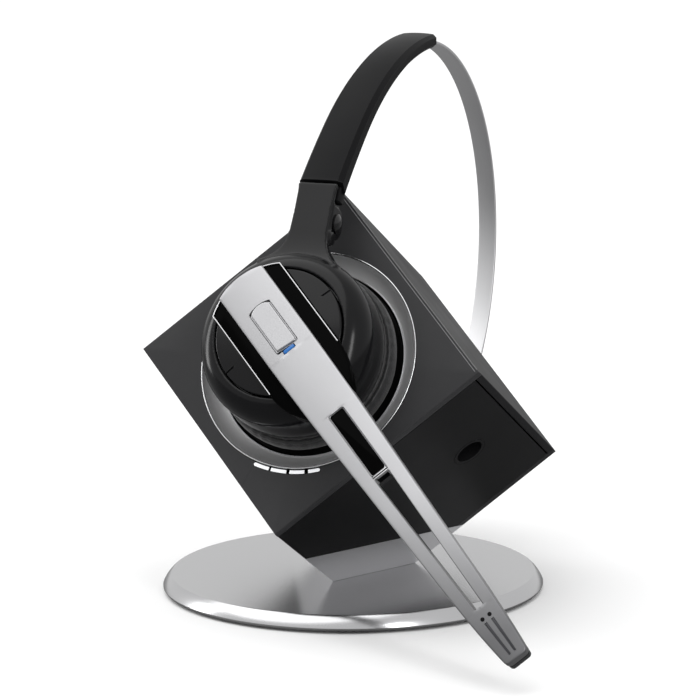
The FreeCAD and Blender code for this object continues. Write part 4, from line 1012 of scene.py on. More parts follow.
# ---- the charging base --------------------------------------------------------------------------
@dataclass
class ChargingBase:
    """The cube housing on its wedge and disc, with the dock's rings and the indicator lights."""

    disc_radius: float = 51.0
    disc_top_radius: float = 48.7
    disc_bottom: float = 0.8
    disc_top: float = 4.6
    disc_hollow: float = 43.2
    disc_hollow_top: float = 2.4
    panel_thick: float = 2.2
    panel_round: float = 0.4
    hole_round: float = 0.12
    highlight_inset: float = 0.9
    dock_rim: float = 29.7
    dish_outer: float = 29.25
    well: float = 25.0
    lip_outer: float = 25.4
    led_inner: float = 29.95
    led_outer: float = 30.95
    led_gap: float = 0.03
    led_gap_degrees: float = 0.06
    led_dark_below: float = -0.02
    led_arcs: tuple[tuple[float, float], ...] = (
        (-108.2, -99.6), (-98.6, -90.2), (-88.7, -80.8), (-79.0, -72.8))

    def build(self) -> None:
        """Build every piece of the base."""
        self.build_disc()
        self.build_panel()
        self.build_housing()
        self.build_dock()
        self.build_lights()
        self.dress_hidden()

    def build_disc(self) -> None:
        """Turn the disc's profile: flat top, a nearly straight slope out to the rim, small bottom edge."""
        rim = arc_through((self.disc_top_radius, self.disc_top), (50.02, 3.2), (self.disc_radius, 1.5), 12)
        edge = np.array([[self.disc_top_radius - 0.25, self.disc_top], [self.disc_top_radius - 0.06, 4.585]])
        top = np.stack([np.linspace(0, self.disc_top_radius - 0.5, 14), np.full(14, self.disc_top)], axis=1)
        foot = np.array([[50.98, 1.2], [50.7, self.disc_bottom], [self.disc_hollow, self.disc_bottom]])
        hollow = np.array([[self.disc_hollow, self.disc_hollow_top], [0.0, self.disc_hollow_top]])
        profile = np.vstack([top, edge, rim[1:], foot, hollow])
        disc = make_piece("base_disc_turned", lathe(profile, 256, False), WORLD, 28.0)
        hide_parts("base_disc")
        dress(disc, DISC, "base")

    def build_panel(self) -> None:
        """Join the dock's hole to the diamond's edge, both rounded over, and lay two thin lighter strips on
        one side as painted highlight lines.

        A row runs out from the hole to the edge at one angle: the hole's radius, stepping out round the
        indicator, with its small round; then the diamond's radius h sqrt(2) / (|cos| + |sin|), where h is
        half a side, shrunk by 1 - inset / h over the edge's round.
        """
        steps = np.radians(np.unique(np.concatenate([np.linspace(-180, 180, 361)[:-1], self.step_angles()])))
        lit = (np.degrees(steps) >= self.led_arcs[0][0]) & (np.degrees(steps) <= self.led_arcs[-1][1])
        hole = np.where(lit, self.led_outer + 0.03, self.dock_rim + 0.02)[:, None]
        square = (CUBE_SIDE / math.sqrt(2) / (np.abs(np.cos(steps)) + np.abs(np.sin(steps))))[:, None]
        turn = np.linspace(0, math.pi / 2, 6)
        soft, crisp = self.panel_round, self.hole_round
        radii = np.hstack([hole, hole + crisp * (1 - np.cos(turn[::2])),
                           square * (1 - soft * (1 - np.sin(turn)) / HALF_SIDE), square])
        heights = np.concatenate([[-self.panel_thick], -crisp * (1 - np.sin(turn[::2])),
                                  -soft * (1 - np.cos(turn)), [-self.panel_thick]])
        points = np.stack(np.broadcast_arrays(radii * np.cos(steps)[:, None], radii * np.sin(steps)[:, None],
                                              heights[None, :]), axis=-1)
        surface = Surface(points.reshape(-1, 3), grid_faces(len(steps), len(heights), True, True))
        panel = make_piece("front_panel_face", surface, FACE, 30.0)
        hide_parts("front_panel")
        dress(panel, PANEL, "base")
        # Two thin lighter strips along one edge: painted highlight lines where the edge and its seam catch
        # the light.
        reach = HALF_SIDE - self.highlight_inset
        highlight_strips = union([
            plate(rounded_rectangle(wide, reach, 0.05) + np.array([HALF_SIDE - inset, 0.0]), -0.2, 0.05, 0.05)
            for inset, wide in ((0.16, 0.07), (0.85, 0.09))])
        edge = make_piece("panel_edge_painted_highlights", highlight_strips, DIAMOND, 40.0)
        dress(edge, EDGE_HIGHLIGHT, "base")

    def step_angles(self) -> np.ndarray:
        """Return the angles at which the hole steps out round the indicator, each twice."""
        low, high = self.led_arcs[0][0], self.led_arcs[-1][1]
        return np.array([low - 0.002, low, high, high + 0.002])

    def build_housing(self) -> None:
        """Round the edges of the flat-sided housing pieces and dress them."""
        for node, finish, slot, bevel in (("upper_cover", COVER, "cover_black", 0.35),
                                          ("lower_cover", LOWER, "lower_black", 0.3),
                                          ("rear_cover", REAR, "lower_black", 0.2),
                                          ("pedestal_wedge", WEDGE, "wedge_metal", 0.25)):
            dress(softened(node, bevel, node + "_soft"), finish, "base")
        dress_nodes(LOWER, "recess_cup")

    def build_dock(self) -> None:
        """Turn the dished ring and its two thin bright lines about the face's normal."""
        dish = arc_through((self.lip_outer, -3.4), (27.6, -2.2), (self.dish_outer, 0.1), 24)
        back = np.array([[self.dish_outer, -2.6], [self.lip_outer, -5.4]])
        ring = make_piece("dock_ring_dish", lathe(np.vstack([dish, back]), 200), FACE, 40.0)
        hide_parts("dock_ring")
        dress(ring, DISH, "base")
        crown = arc_through((self.dish_outer, 0.15), (29.48, 0.5), (self.dock_rim, 0.15), 9)
        sides = np.array([[self.dock_rim, -2.0], [self.dish_outer, -2.0]])
        rim = make_piece("dock_rim_line", lathe(np.vstack([crown, sides]), 200), FACE, 60.0)
        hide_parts("dock_rim_trim")
        dress(rim, CHROME, "base")
        crown = arc_through((self.well, -3.3), (25.2, -3.05), (self.lip_outer, -3.3), 7)
        sides = np.array([[self.lip_outer, -4.2], [self.well, -4.2]])
        lip = make_piece("dock_lip_line", lathe(np.vstack([crown, sides]), 200), FACE, 60.0)
        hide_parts("dock_lip_trim")
        dress(lip, LIP, "base")
        dress_nodes(WELL, "dock_well")
        dress_nodes(GOLD, "dock_contacts")

    def build_lights(self) -> None:
        """Raise the four light segments: curved plates, the outermost ends fully rounded."""
        last = len(self.led_arcs) - 1
        segments = [self.light_segment(start, end, index == 0, index == last)
                    for index, (start, end) in enumerate(self.led_arcs)]
        lights = make_piece("indicator_segments", union(segments), FACE, 40.0)
        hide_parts("led_light_guides")
        dress(lights, WHITE_LENS, "base")
        dress_part(lights, WELL, FACE, lambda centre: centre[:, 2] < self.led_dark_below)

    def light_segment(self, start: float, end: float, first: bool, last: bool) -> Surface:
        """Return one segment: a plate between two arcs about the dock's centre.

        Args:
            start: Where it starts, in degrees.
            end: Where it ends, in degrees.
            first: Its start is a half circle.
            last: Its end is a half circle.

        Returns:
            The surface.
        """
        middle = (self.led_inner + self.led_outer) / 2
        half = (self.led_outer - self.led_inner) / 2 - self.led_gap
        pad = half / middle
        a0 = math.radians(start + self.led_gap_degrees) + (pad if first else 0.0)
        a1 = math.radians(end - self.led_gap_degrees) - (pad if last else 0.0)
        angle = a0 + (a1 - a0) * np.linspace(0, 1, 14)
        out = np.stack([np.cos(angle), np.sin(angle)], axis=1)
        loop = [out * (middle + half)]
        if last:
            loop.append(self.round_end(a1, middle, half, 1.0))
        loop.append((out * (middle - half))[::-1])
        if first:
            loop.append(self.round_end(a0, middle, half, -1.0))
        return plate(np.vstack(loop), -4.0, 0.14, 0.1)

    def round_end(self, angle: float, middle: float, half: float, way: float) -> np.ndarray:
        """Return the half circle that closes a segment.

        Args:
            angle: Where the segment's straight part ends.
            middle: Radius of the segment's middle line.
            half: Half the segment's width.
            way: 1 to bulge to larger angles, -1 to smaller.

        Returns:
            Points of the half circle without its ends, in loop order.
        """
        centre = middle * np.array([math.cos(angle), math.sin(angle)])
        out = centre / middle
        side = way * np.array([-out[1], out[0]])
        turn = np.linspace(0, math.pi, 9)[1:-1, None]
        turn = turn if way > 0 else math.pi - turn
        return centre + half * (np.cos(turn) * out + np.sin(turn) * side)

    def dress_hidden(self) -> None:
        """Dress the nodes that stay as CAD drew them."""
        dress_nodes(RUBBER, "foot_pad")
        dress_nodes(DARK_STEEL, "ballast_plate")
        dress_nodes(PLAIN_STEEL, "pedestal_bolts", "rear_screws", "usb_socket", "radio_module",
                    "dock_magnets")
        dress_nodes(INNER, "chassis_tray")
        dress_nodes(BOARD, "main_board", "led_board")
        dress_nodes(BRASS, "antennas")
        dress_nodes(REAR, "phone_socket", "handset_socket", "power_jack", "aux_jack")


# ---- the earpiece -------------------------------------------------------------------------------
@dataclass
class Earpiece:
    """The ear cup with its cushion, and the yoke that carries the headband."""

    cushion_outer: float = 24.4
    cushion_hole: float = 9.5
    cushion_back: float = -4.2
    cushion_front: float = 4.8
    shell_radius: float = 22.9
    pin_height: float = 34.0
    pin_out: float = 10.6

    def build(self) -> None:
        """Build every piece of the earpiece."""
        self.build_cushion()
        self.build_shell()
        self.build_yoke()
        self.build_pin()
        dress_nodes(INNER, "speaker_baffle", "speaker_driver")
        dress_nodes(GOLD, "contact_pads")
        dress_nodes(BRASS, "hub_bearing")
        dress_nodes(WRAP, "battery_cell")
        dress_nodes(BOARD, "headset_board")

    def build_cushion(self) -> None:
        """Shape the ring cushion: a squashed ring section, with a piped seam and soft gathers near it.

        point(angle, k) = section_k pushed in along its own normal by the seam's groove and by gathers, which
        are sines of the angle that fade with distance from the seam.
        """
        middle = (self.cushion_outer + self.cushion_hole) / 2
        half_wide = (self.cushion_outer - self.cushion_hole) / 2 - 0.1
        half_high = (self.cushion_front - self.cushion_back) / 2 - 0.05
        height = (self.cushion_front + self.cushion_back) / 2
        a = np.linspace(0, 2 * math.pi, 96, endpoint=False)
        power = 2.0 / 2.7
        cos, sin = np.cos(a), np.sin(a)
        section = np.stack([np.sign(cos) * np.abs(cos) ** power, np.sign(sin) * np.abs(sin) ** power], axis=1)
        normal = np.stack([cos, sin], axis=1)
        seam = math.radians(38.0)
        gap = np.abs((a - seam + math.pi) % (2 * math.pi) - math.pi)
        groove = 0.55 * np.exp(-(gap / 0.05) ** 2) - 0.22 * np.exp(-((gap - 0.14) / 0.06) ** 2)
        fade = np.exp(-(gap / 0.5) ** 2)
        angle = np.linspace(0, 2 * math.pi, 288, endpoint=False)
        gathers = np.sin(41 * angle + 1.3 * np.sin(3 * angle))
        gathers = gathers + 0.6 * np.sin(67 * angle + 2 * np.sin(5 * angle))
        slack = 0.12 * np.sin(5 * angle + 0.7) + 0.08 * np.sin(9 * angle)
        push = groove[None, :] + 0.09 * gathers[:, None] * fade[None, :] + 0.12 + slack[:, None] * 0.5
        radius = middle + half_wide * section[None, :, 0] - push * normal[None, :, 0]
        z = height + half_high * section[None, :, 1] - push * normal[None, :, 1]
        points = np.stack([radius * np.cos(angle)[:, None], radius * np.sin(angle)[:, None], z], axis=-1)
        surface = Surface(points.reshape(-1, 3), grid_faces(len(angle), len(a), True, True))
        cushion = make_piece("ear_cushion_soft", surface, FACE, 80.0)
        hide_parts("ear_cushion")
        dress(cushion, HIDE, "earpiece")

    def build_shell(self) -> None:
        """Turn the speaker housing behind the yoke, with its rounded skirt."""
        r = self.shell_radius
        profile = rounded_path([(6.1, 17.6, 0.1), (15.9, 17.6, 0.2), (15.9, 6.5, 0.2), (21.5, 6.5, 0.1),
                                (21.5, 4.9, 0.1), (r, 4.9, 0.5), (r, 7.9, 0.3), (17.4, 7.9, 0.05),
                                (17.4, 19.4, 0.2), (6.1, 19.4, 0.1)], True)
        shell = make_piece("ear_cup_turned", lathe(profile, 200), FACE, 40.0)
        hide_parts("ear_cup_shell")
        dress(shell, SHELL, "earpiece")

    def build_yoke(self) -> None:
        """Let the ring, the fork and the cheeks flow into each other."""
        dress(blended("yoke", 0.3, 7, "yoke_blended"), YOKE, "earpiece")

    def build_pin(self) -> None:
        """Turn the hinge pin with two domed heads about the hinge line."""
        dome = arc_through((0.0, 6.5), (1.5, 6.3), (2.6, 5.75), 8)
        head = np.vstack([dome, [[2.6, 5.37], [1.49, 5.37]]])
        profile = np.vstack([head, (head * [1, -1])[::-1]])
        surface = lathe(profile, 64, False)
        surface.points = surface.points[:, [2, 0, 1]] + np.array([0.0, self.pin_height, self.pin_out])
        pin = make_piece("hinge_pin_domed", surface, FACE, 40.0)
        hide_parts("hinge_pin")
        dress(pin, SHELL, "earpiece")


# ---- the boom -----------------------------------------------------------------------------------
@dataclass(frozen=True)
class Cut:
    """An opening along the arm's middle line: its ends, half widths, corner radius and bulge."""

    start: float
    end: float
    half_start: float
    half_end: float
    corner: float
    bulge: float = 0.0

    def half(self, u: np.ndarray) -> np.ndarray:
        """Return the half width at each place: a straight taper with its ends rounded by a circle."""
        share = np.clip((u - self.start) / (self.end - self.start), 0, 1)
        wide = self.half_start + (self.half_end - self.half_start) * share
        if self.bulge:
            rise = np.sqrt(np.clip((u - self.start) / self.bulge, 0, 1))
            wide = wide * rise
        for near in (u - self.start, self.end - u):
            d = np.clip(near, 0, self.corner)
            wide = wide - self.corner + np.sqrt(self.corner ** 2 - (self.corner - d) ** 2)
        return np.where((u >= self.start) & (u <= self.end), np.maximum(wide, 0.0), 0.0)

    def stations(self) -> np.ndarray:
        """Return places that catch both ends, crowded where the outline turns."""
        ease = 1 - np.cos(np.linspace(0, math.pi / 2, 8))
        reach = max(self.corner, self.bulge) * 1.2
        return np.concatenate([[self.start - 0.004], self.start + ease * reach, self.end - ease * reach,
                               [self.end + 0.004]])


@dataclass
class Boom:
    """The silver arm in its gloss channel across the hub, with button, lens, window and microphone end."""

    back_radius: float = 18.05
    tip: float = 111.2
    top: float = 25.5
    bend_start: float = 55.0
    tip_drop: float = 2.9
    tip_corner: float = 1.2
    shoulder: float = 0.55
    crown: float = 0.32
    opening_lip: float = 0.2
    underside_start: float = 26.65
    underside_end: float = 27.35
    underside_hub: float = 24.15
    underside_arm: float = 22.2
    line_start: float = 99.4
    line_end: float = 109.45
    line_depth: float = 0.25
    channel_half: float = 11.1
    channel_arc: float = 18.3
    channel_end: float = 26.5
    channel_end_half: float = 6.3
    ring_radius: float = 24.0
    bright_end: float = 13.5
    widths: tuple[tuple[float, float], ...] = (
        (0.0, 7.0), (20.0, 6.85), (44.0, 6.2), (60.0, 5.65), (74.0, 5.2), (91.0, 4.75), (101.0, 4.1),
        (110.2, 3.35))
    cuts: tuple[Cut, ...] = field(default_factory=lambda: (
        Cut(-8.05, 7.0, 3.2, 3.2, 0.7, 0.8), Cut(7.0, 8.05, 1.7, 1.7, 0.05),
        Cut(29.6, 51.4, 2.3, 2.25, 0.6), Cut(51.4, 95.2, 2.2, 1.2, 0.3)))

    def build(self) -> None:
        """Build every piece of the boom."""
        self.build_arm()
        self.build_channel()
        self.build_hub_plates()
        self.build_button()
        self.build_window()
        self.build_microphone_end()
        dress_nodes(SHELL, "boom_back_cover")
        dress_nodes(DARK_STEEL, "hub_spindle", "mic_capsules")
        dress_nodes(AMBER, "boom_flex")

    def bent(self, points: np.ndarray) -> np.ndarray:
        """Wrap the arm beyond its bend start round a large circle, keeping each layer's depth.

        The circle's radius is (reach^2 + drop^2) / (2 drop), so that the tip drops by just that much.

        Args:
            points: Points of the straight arm.

        Returns:
            The bent points.
        """
        reach = self.tip - self.bend_start
        big = (reach ** 2 + self.tip_drop ** 2) / (2 * self.tip_drop)
        turn = np.arcsin(np.clip(points[:, 0] - self.bend_start, 0, None) / big)
        radius = big - (self.top - points[:, 2])
        x = np.where(turn > 0, self.bend_start + radius * np.sin(turn), points[:, 0])
        z = np.where(turn > 0, self.top - big + radius * np.cos(turn), points[:, 2])
        return np.stack([x, points[:, 1], z], axis=1)

    def half_width(self, u: np.ndarray) -> np.ndarray:
        """Return the arm's half width: a circle about the hub, a smooth taper, and a rounded tip.

        Args:
            u: Places along the arm.

        Returns:
            The half width at each place.
        """
        places, sizes = np.array(self.widths).T
        taper = np.polyval(np.polyfit(places, sizes, 5), np.clip(u, 0, self.tip))
        taper = np.where(u < 0, sizes[0], taper)
        back = np.sqrt(np.clip(self.back_radius ** 2 - u ** 2, 0, None))
        back = np.where(u < 0, back, np.inf)
        corner = self.tip_corner
        d = np.clip(self.tip - u, 0, corner)
        tip = taper - corner + np.sqrt(corner ** 2 - (corner - d) ** 2)
        return np.minimum(np.minimum(taper, back), tip)

    def build_arm(self) -> None:
        """Build the arm from two mirrored rails that meet on the middle line where there is no opening.

        A row is a section at one place along the arm: up the opening's wall, across the slightly crowned top
        with a pair of sunk lines near the tip, over the rounded shoulder and back under. The opening's half
        width falls to nothing at its ends, so the two rails' inner points meet there and are welded.
        """
        back = -self.back_radius * np.cos(np.linspace(0, math.acos(16.6 / self.back_radius), 12))
        tip = self.tip - 1.4 * (1 - np.cos(np.linspace(0, math.pi / 2, 10)))
        steps = [self.line_start - 0.05, self.line_start + 0.05, self.line_end - 0.05, self.line_end + 0.05,
                 self.underside_start, self.underside_end]
        u = [back, np.arange(-16.0, 110.0, 1.0), tip, steps] + [cut.stations() for cut in self.cuts]
        u = np.unique(np.round(np.concatenate(u), 5))
        gap = np.max([cut.half(u) for cut in self.cuts], axis=0)
        wide = self.half_width(u)
        end_drop = np.clip(0.5 - np.minimum(u + self.back_radius, self.tip - u), 0, 0.5)
        end_drop = 0.5 - np.sqrt(0.25 - end_drop ** 2)
        bottom = np.interp(u, [self.underside_start, self.underside_end],
                           [self.underside_hub, self.underside_arm])
        shoulder = np.minimum(self.shoulder, wide * 0.45)
        lip = np.minimum(self.opening_lip, gap)
        share = np.array([0.0, 0.10, 0.17, 0.20, 0.36, 0.39, 0.55, 0.72, 0.86, 1.0])
        sunk = np.where((share > 0.18) & (share < 0.38), self.line_depth, 0.0)
        lines = ((u > self.line_start) & (u < self.line_end)).astype(float)
        flat = (gap + lip)[:, None] + share[None, :] * np.maximum(wide - shoulder - gap - lip, 0)[:, None]
        crown = self.crown * (flat / np.maximum(wide, 1e-3)[:, None]) ** 2
        high = self.top - end_drop[:, None] - crown - lines[:, None] * sunk[None, :]
        turn = np.linspace(0, math.pi / 2, 6)[1:]
        side = (wide - shoulder)[:, None] + shoulder[:, None] * np.sin(turn)
        side_z = high[:, -1:] - shoulder[:, None] * (1 - np.cos(turn)) * 0.9
        wall, edge = gap[:, None], wide[:, None]
        y = np.hstack([wall, wall, flat, side, edge, edge, edge * 0.985])
        low = bottom[:, None]
        ledge = np.full_like(low, self.underside_hub + 0.25)
        z = np.hstack([low, high[:, :1] - lip[:, None], high, side_z, ledge, low + 0.15, low])
        z = np.maximum(z, low)
        rows, cols = y.shape
        x = np.broadcast_to(u[:, None], y.shape)
        right = np.stack([x, y, z], axis=-1).reshape(-1, 3)
        faces = np.array(grid_faces(rows, cols, False, True)).reshape(rows - 1, cols, 4)
        open_row = np.maximum(gap[1:], gap[:-1]) > 1e-6
        keep = np.ones((rows - 1, cols), bool)
        keep[:, 0] = open_row
        quads = [tuple(q) for q in faces[keep].tolist()] + [tuple(range((rows - 1) * cols, rows * cols))]
        left = right * np.array([1.0, -1.0, 1.0])
        surface = Surface(self.bent(right), quads).joined(Surface(self.bent(left), [q[::-1] for q in quads]))
        arm = make_piece("boom_arm_skin", surface, BOOM, 32.0)
        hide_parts("boom_arm")
        dress(arm, ARM, "boom")

    def channel_loop(self) -> np.ndarray:
        """Return the channel's outline: an arc about the hub, straight sides and a curved run to the arm.

        Every point is seen from the hub, so sorting by angle puts them in counter-clockwise order.
        """
        w, r = self.channel_half, self.channel_arc
        x0 = -math.sqrt(r * r - w * w)
        side = arc_through((12.8, w), (21.5, w - 1.55), (self.channel_end, self.channel_end_half), 22)
        straight = np.stack([np.linspace(x0, 12.8, 24)[1:-1], np.full(22, w)], axis=1)
        upper = np.vstack([straight, side])
        lower = (upper * [1, -1])[:0:-1]
        back = arc_through((x0, -w), (-r, 0.0), (x0, w), 30)
        return by_angle(np.vstack([lower, upper, back]))

    def build_channel(self) -> None:
        """Build the gloss channel, its deeper pod past the ring, and the thin frame on its edge.

        The frame is bright by the hub and black beyond.
        """
        loop = self.channel_loop()
        floor = plate(loop, 22.4, 23.5, 0.12)
        past_ring = np.hypot(loop[:, 0], loop[:, 1]) > self.ring_radius
        outer = by_angle(loop[past_ring & (loop[:, 0] > 0)])
        widest = outer[np.abs(outer[:, 1]).argmax()]
        reach = math.atan2(abs(widest[1]), widest[0])
        inner_angle = np.linspace(reach, -reach, 30)
        inner = self.ring_radius * np.stack([np.cos(inner_angle), np.sin(inner_angle)], axis=1)
        pod = plate(np.vstack([outer, inner]), 19.35, 22.4, 0.05, 0.5)
        body = make_piece("channel_gloss", floor.joined(pod), BOOM, 40.0)
        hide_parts("channel_frame")
        dress(body, GLOSS, "boom")
        section = rounded_path([(0.0, 23.4, 0), (0.0, 24.0, 0.1), (0.3, 24.0, 0.1), (0.3, 23.4, 0)], True, 4)
        line = make_piece("channel_bright_line", along_loop(loop, section[::-1], True), BOOM, 60.0)
        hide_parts("channel_trim")
        dress(line, CHROME, "boom")
        dress_part(line, GLOSS, BOOM, lambda centre: centre[:, 0] > self.bright_end)

    def build_hub_plates(self) -> None:
        """Fill each half-moon between its chord and its arc, domed, with a short index mark.

        point(s, t) lies a share t of the way from the chord to the arc, both at the same place s along it.
        """
        radius, chord = 17.1, self.channel_half + 0.08
        reach = math.acos(chord / radius)
        s = np.unique(np.concatenate([np.linspace(-reach, reach, 61), [-0.018, -0.0125, 0.0125, 0.018]]))
        t = 1 - np.cos(np.linspace(0, math.pi / 2, 16))
        t = np.unique(np.concatenate([[0, 0.015, 0.03, 0.06], t, [0.97, 0.985, 1.0]]))
        arc = radius * np.stack([np.sin(s), np.cos(s)], axis=1)
        base = np.stack([arc[:, 0], np.full(len(s), chord)], axis=1)
        flat = base[:, None, :] + t[None, :, None] * (arc - base)[:, None, :]
        r = np.linalg.norm(flat, axis=-1)
        dome = 23.5 - 1.35 * (r / radius) ** 2
        edge = np.minimum(flat[..., 1] - chord, radius - r)
        round_over = 0.25
        dome -= round_over - np.sqrt(round_over ** 2 - (round_over - np.clip(edge, 0, round_over)) ** 2)
        mark = (np.abs(flat[..., 0]) < 0.24) & (flat[..., 1] > 14.6)
        dome = dome - 0.45 * mark
        top = np.concatenate([flat, dome[..., None]], axis=-1)
        low = np.concatenate([flat, np.full(flat.shape[:2] + (1,), 20.0)], axis=-1)
        rows, cols = flat.shape[:2]
        points = np.vstack([top.reshape(-1, 3), low.reshape(-1, 3)])
        under = [q[::-1] for q in grid_faces(rows, cols, False, False, rows * cols)]
        faces = grid_faces(rows, cols, False, False) + under
        rim = np.concatenate([np.arange(cols), np.arange(1, rows) * cols + cols - 1,
                              (rows - 1) * cols + np.arange(cols - 1)[::-1],
                              np.arange(1, rows - 1)[::-1] * cols])
        after, below = np.roll(rim, -1), rows * cols
        skirt = np.stack([rim, after, after + below, rim + below], axis=1)
        faces += [tuple(q) for q in skirt.tolist()]
        one = Surface(points, faces)
        other = Surface(points * np.array([-1.0, -1.0, 1.0]), faces)
        plates = make_piece("hub_half_moons", one.joined(other), BOOM, 40.0)
        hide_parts("hub_plates")
        dress(plates, YOKE, "boom")

    def build_button(self) -> None:
        """Raise the call button's outline with a soft shoulder, and the small status lens beside it."""
        w, c = 2.9, 0.6
        far = arc_through((-6.95, -w + c), (-7.75, 0.0), (-6.95, w - c), 13)[::-1]
        corners = rounded_path([(6.7, -w, c), (6.7, w, c), (-6.95, w, c * 0.9)], False, 6)
        loop = np.vstack([[[-6.35, -w]], [[6.1, -w]], corners[1:-1], [[-6.35, w]], far])
        button = make_piece("call_button_cap", plate(loop, 24.3, 25.9, 0.3), BOOM, 40.0)
        button.modifiers.new("even_shading", "WEIGHTED_NORMAL").keep_sharp = True
        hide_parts("call_button")
        bezel_section = np.array([[-0.26, 24.6], [-0.26, 25.36], [-0.05, 25.36], [-0.05, 24.6]])
        bezel = make_piece("button_bezel", along_loop(loop, bezel_section, True), BOOM, 40.0)
        dress(bezel, ARM, "boom")
        dress(button, BUTTON, "button")
        lens_loop = rounded_rectangle(0.49, 1.62, 0.3) + np.array([7.5, 0.0])
        lens = make_piece("status_lens", plate(lens_loop, 24.15, 25.72, 0.22), BOOM, 40.0)
        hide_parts("status_led")
        dress(lens, BLUE_LENS, "boom")

    def build_window(self) -> None:
        """Lay the plain gloss strip in the arm's window, its thin rim and the two thin bars that close it."""
        loop = rounded_rectangle(10.25, 2.16, 0.6) + np.array([39.95, 0.0])
        strip = make_piece("window_gloss", plate(loop, 24.2, 24.95, 0.15), BOOM, 40.0)
        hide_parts("name_window")
        dress(strip, GLOSS, "boom")
        rim_section = np.array([[-0.09, 24.4], [-0.09, 25.2], [0.0, 25.28], [0.1, 25.2], [0.1, 24.4]])
        rim = make_piece("window_rim", along_loop(loop, rim_section, True), BOOM, 40.0)
        dress(rim, LIP, "boom")
        bars = union([plate(rounded_rectangle(0.14, 2.19, 0.1) + np.array([x, 0.0]), 24.2, 25.3, 0.08)
                      for x in (50.45, 51.05)])
        trim = make_piece("window_bars", bars, BOOM, 40.0)
        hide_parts("window_trim")
        dress(trim, CHROME, "boom")

    def build_microphone_end(self) -> None:
        """Set the two round microphone ports in the top of the tip, and dark mesh in its two sunk lines."""
        lip = np.array([[0.0, 25.49], [0.5, 25.5], [0.58, 25.47], [0.6, 25.0], [0.0, 25.0]])
        port = lathe(lip, 32, False)
        ports = [Surface(self.bent(port.points + np.array([98.2, y, 0.0])), port.faces) for y in (-1.1, 1.0)]
        piece = make_piece("microphone_ports", union(ports), BOOM, 30.0)
        dress(piece, WELL, "boom")
        middle = (self.line_start + self.line_end) / 2 - 0.025
        lines = union([plate(rounded_rectangle(5.0, 0.36, 0.34) + np.array([middle, y]), 25.0, 25.32, 0.04)
                       for y in (-0.95, 0.95)])
        lines.points = self.bent(lines.points)
        mesh = make_piece("microphone_mesh", lines, BOOM, 30.0)
        dress(mesh, DARK_STEEL, "boom")


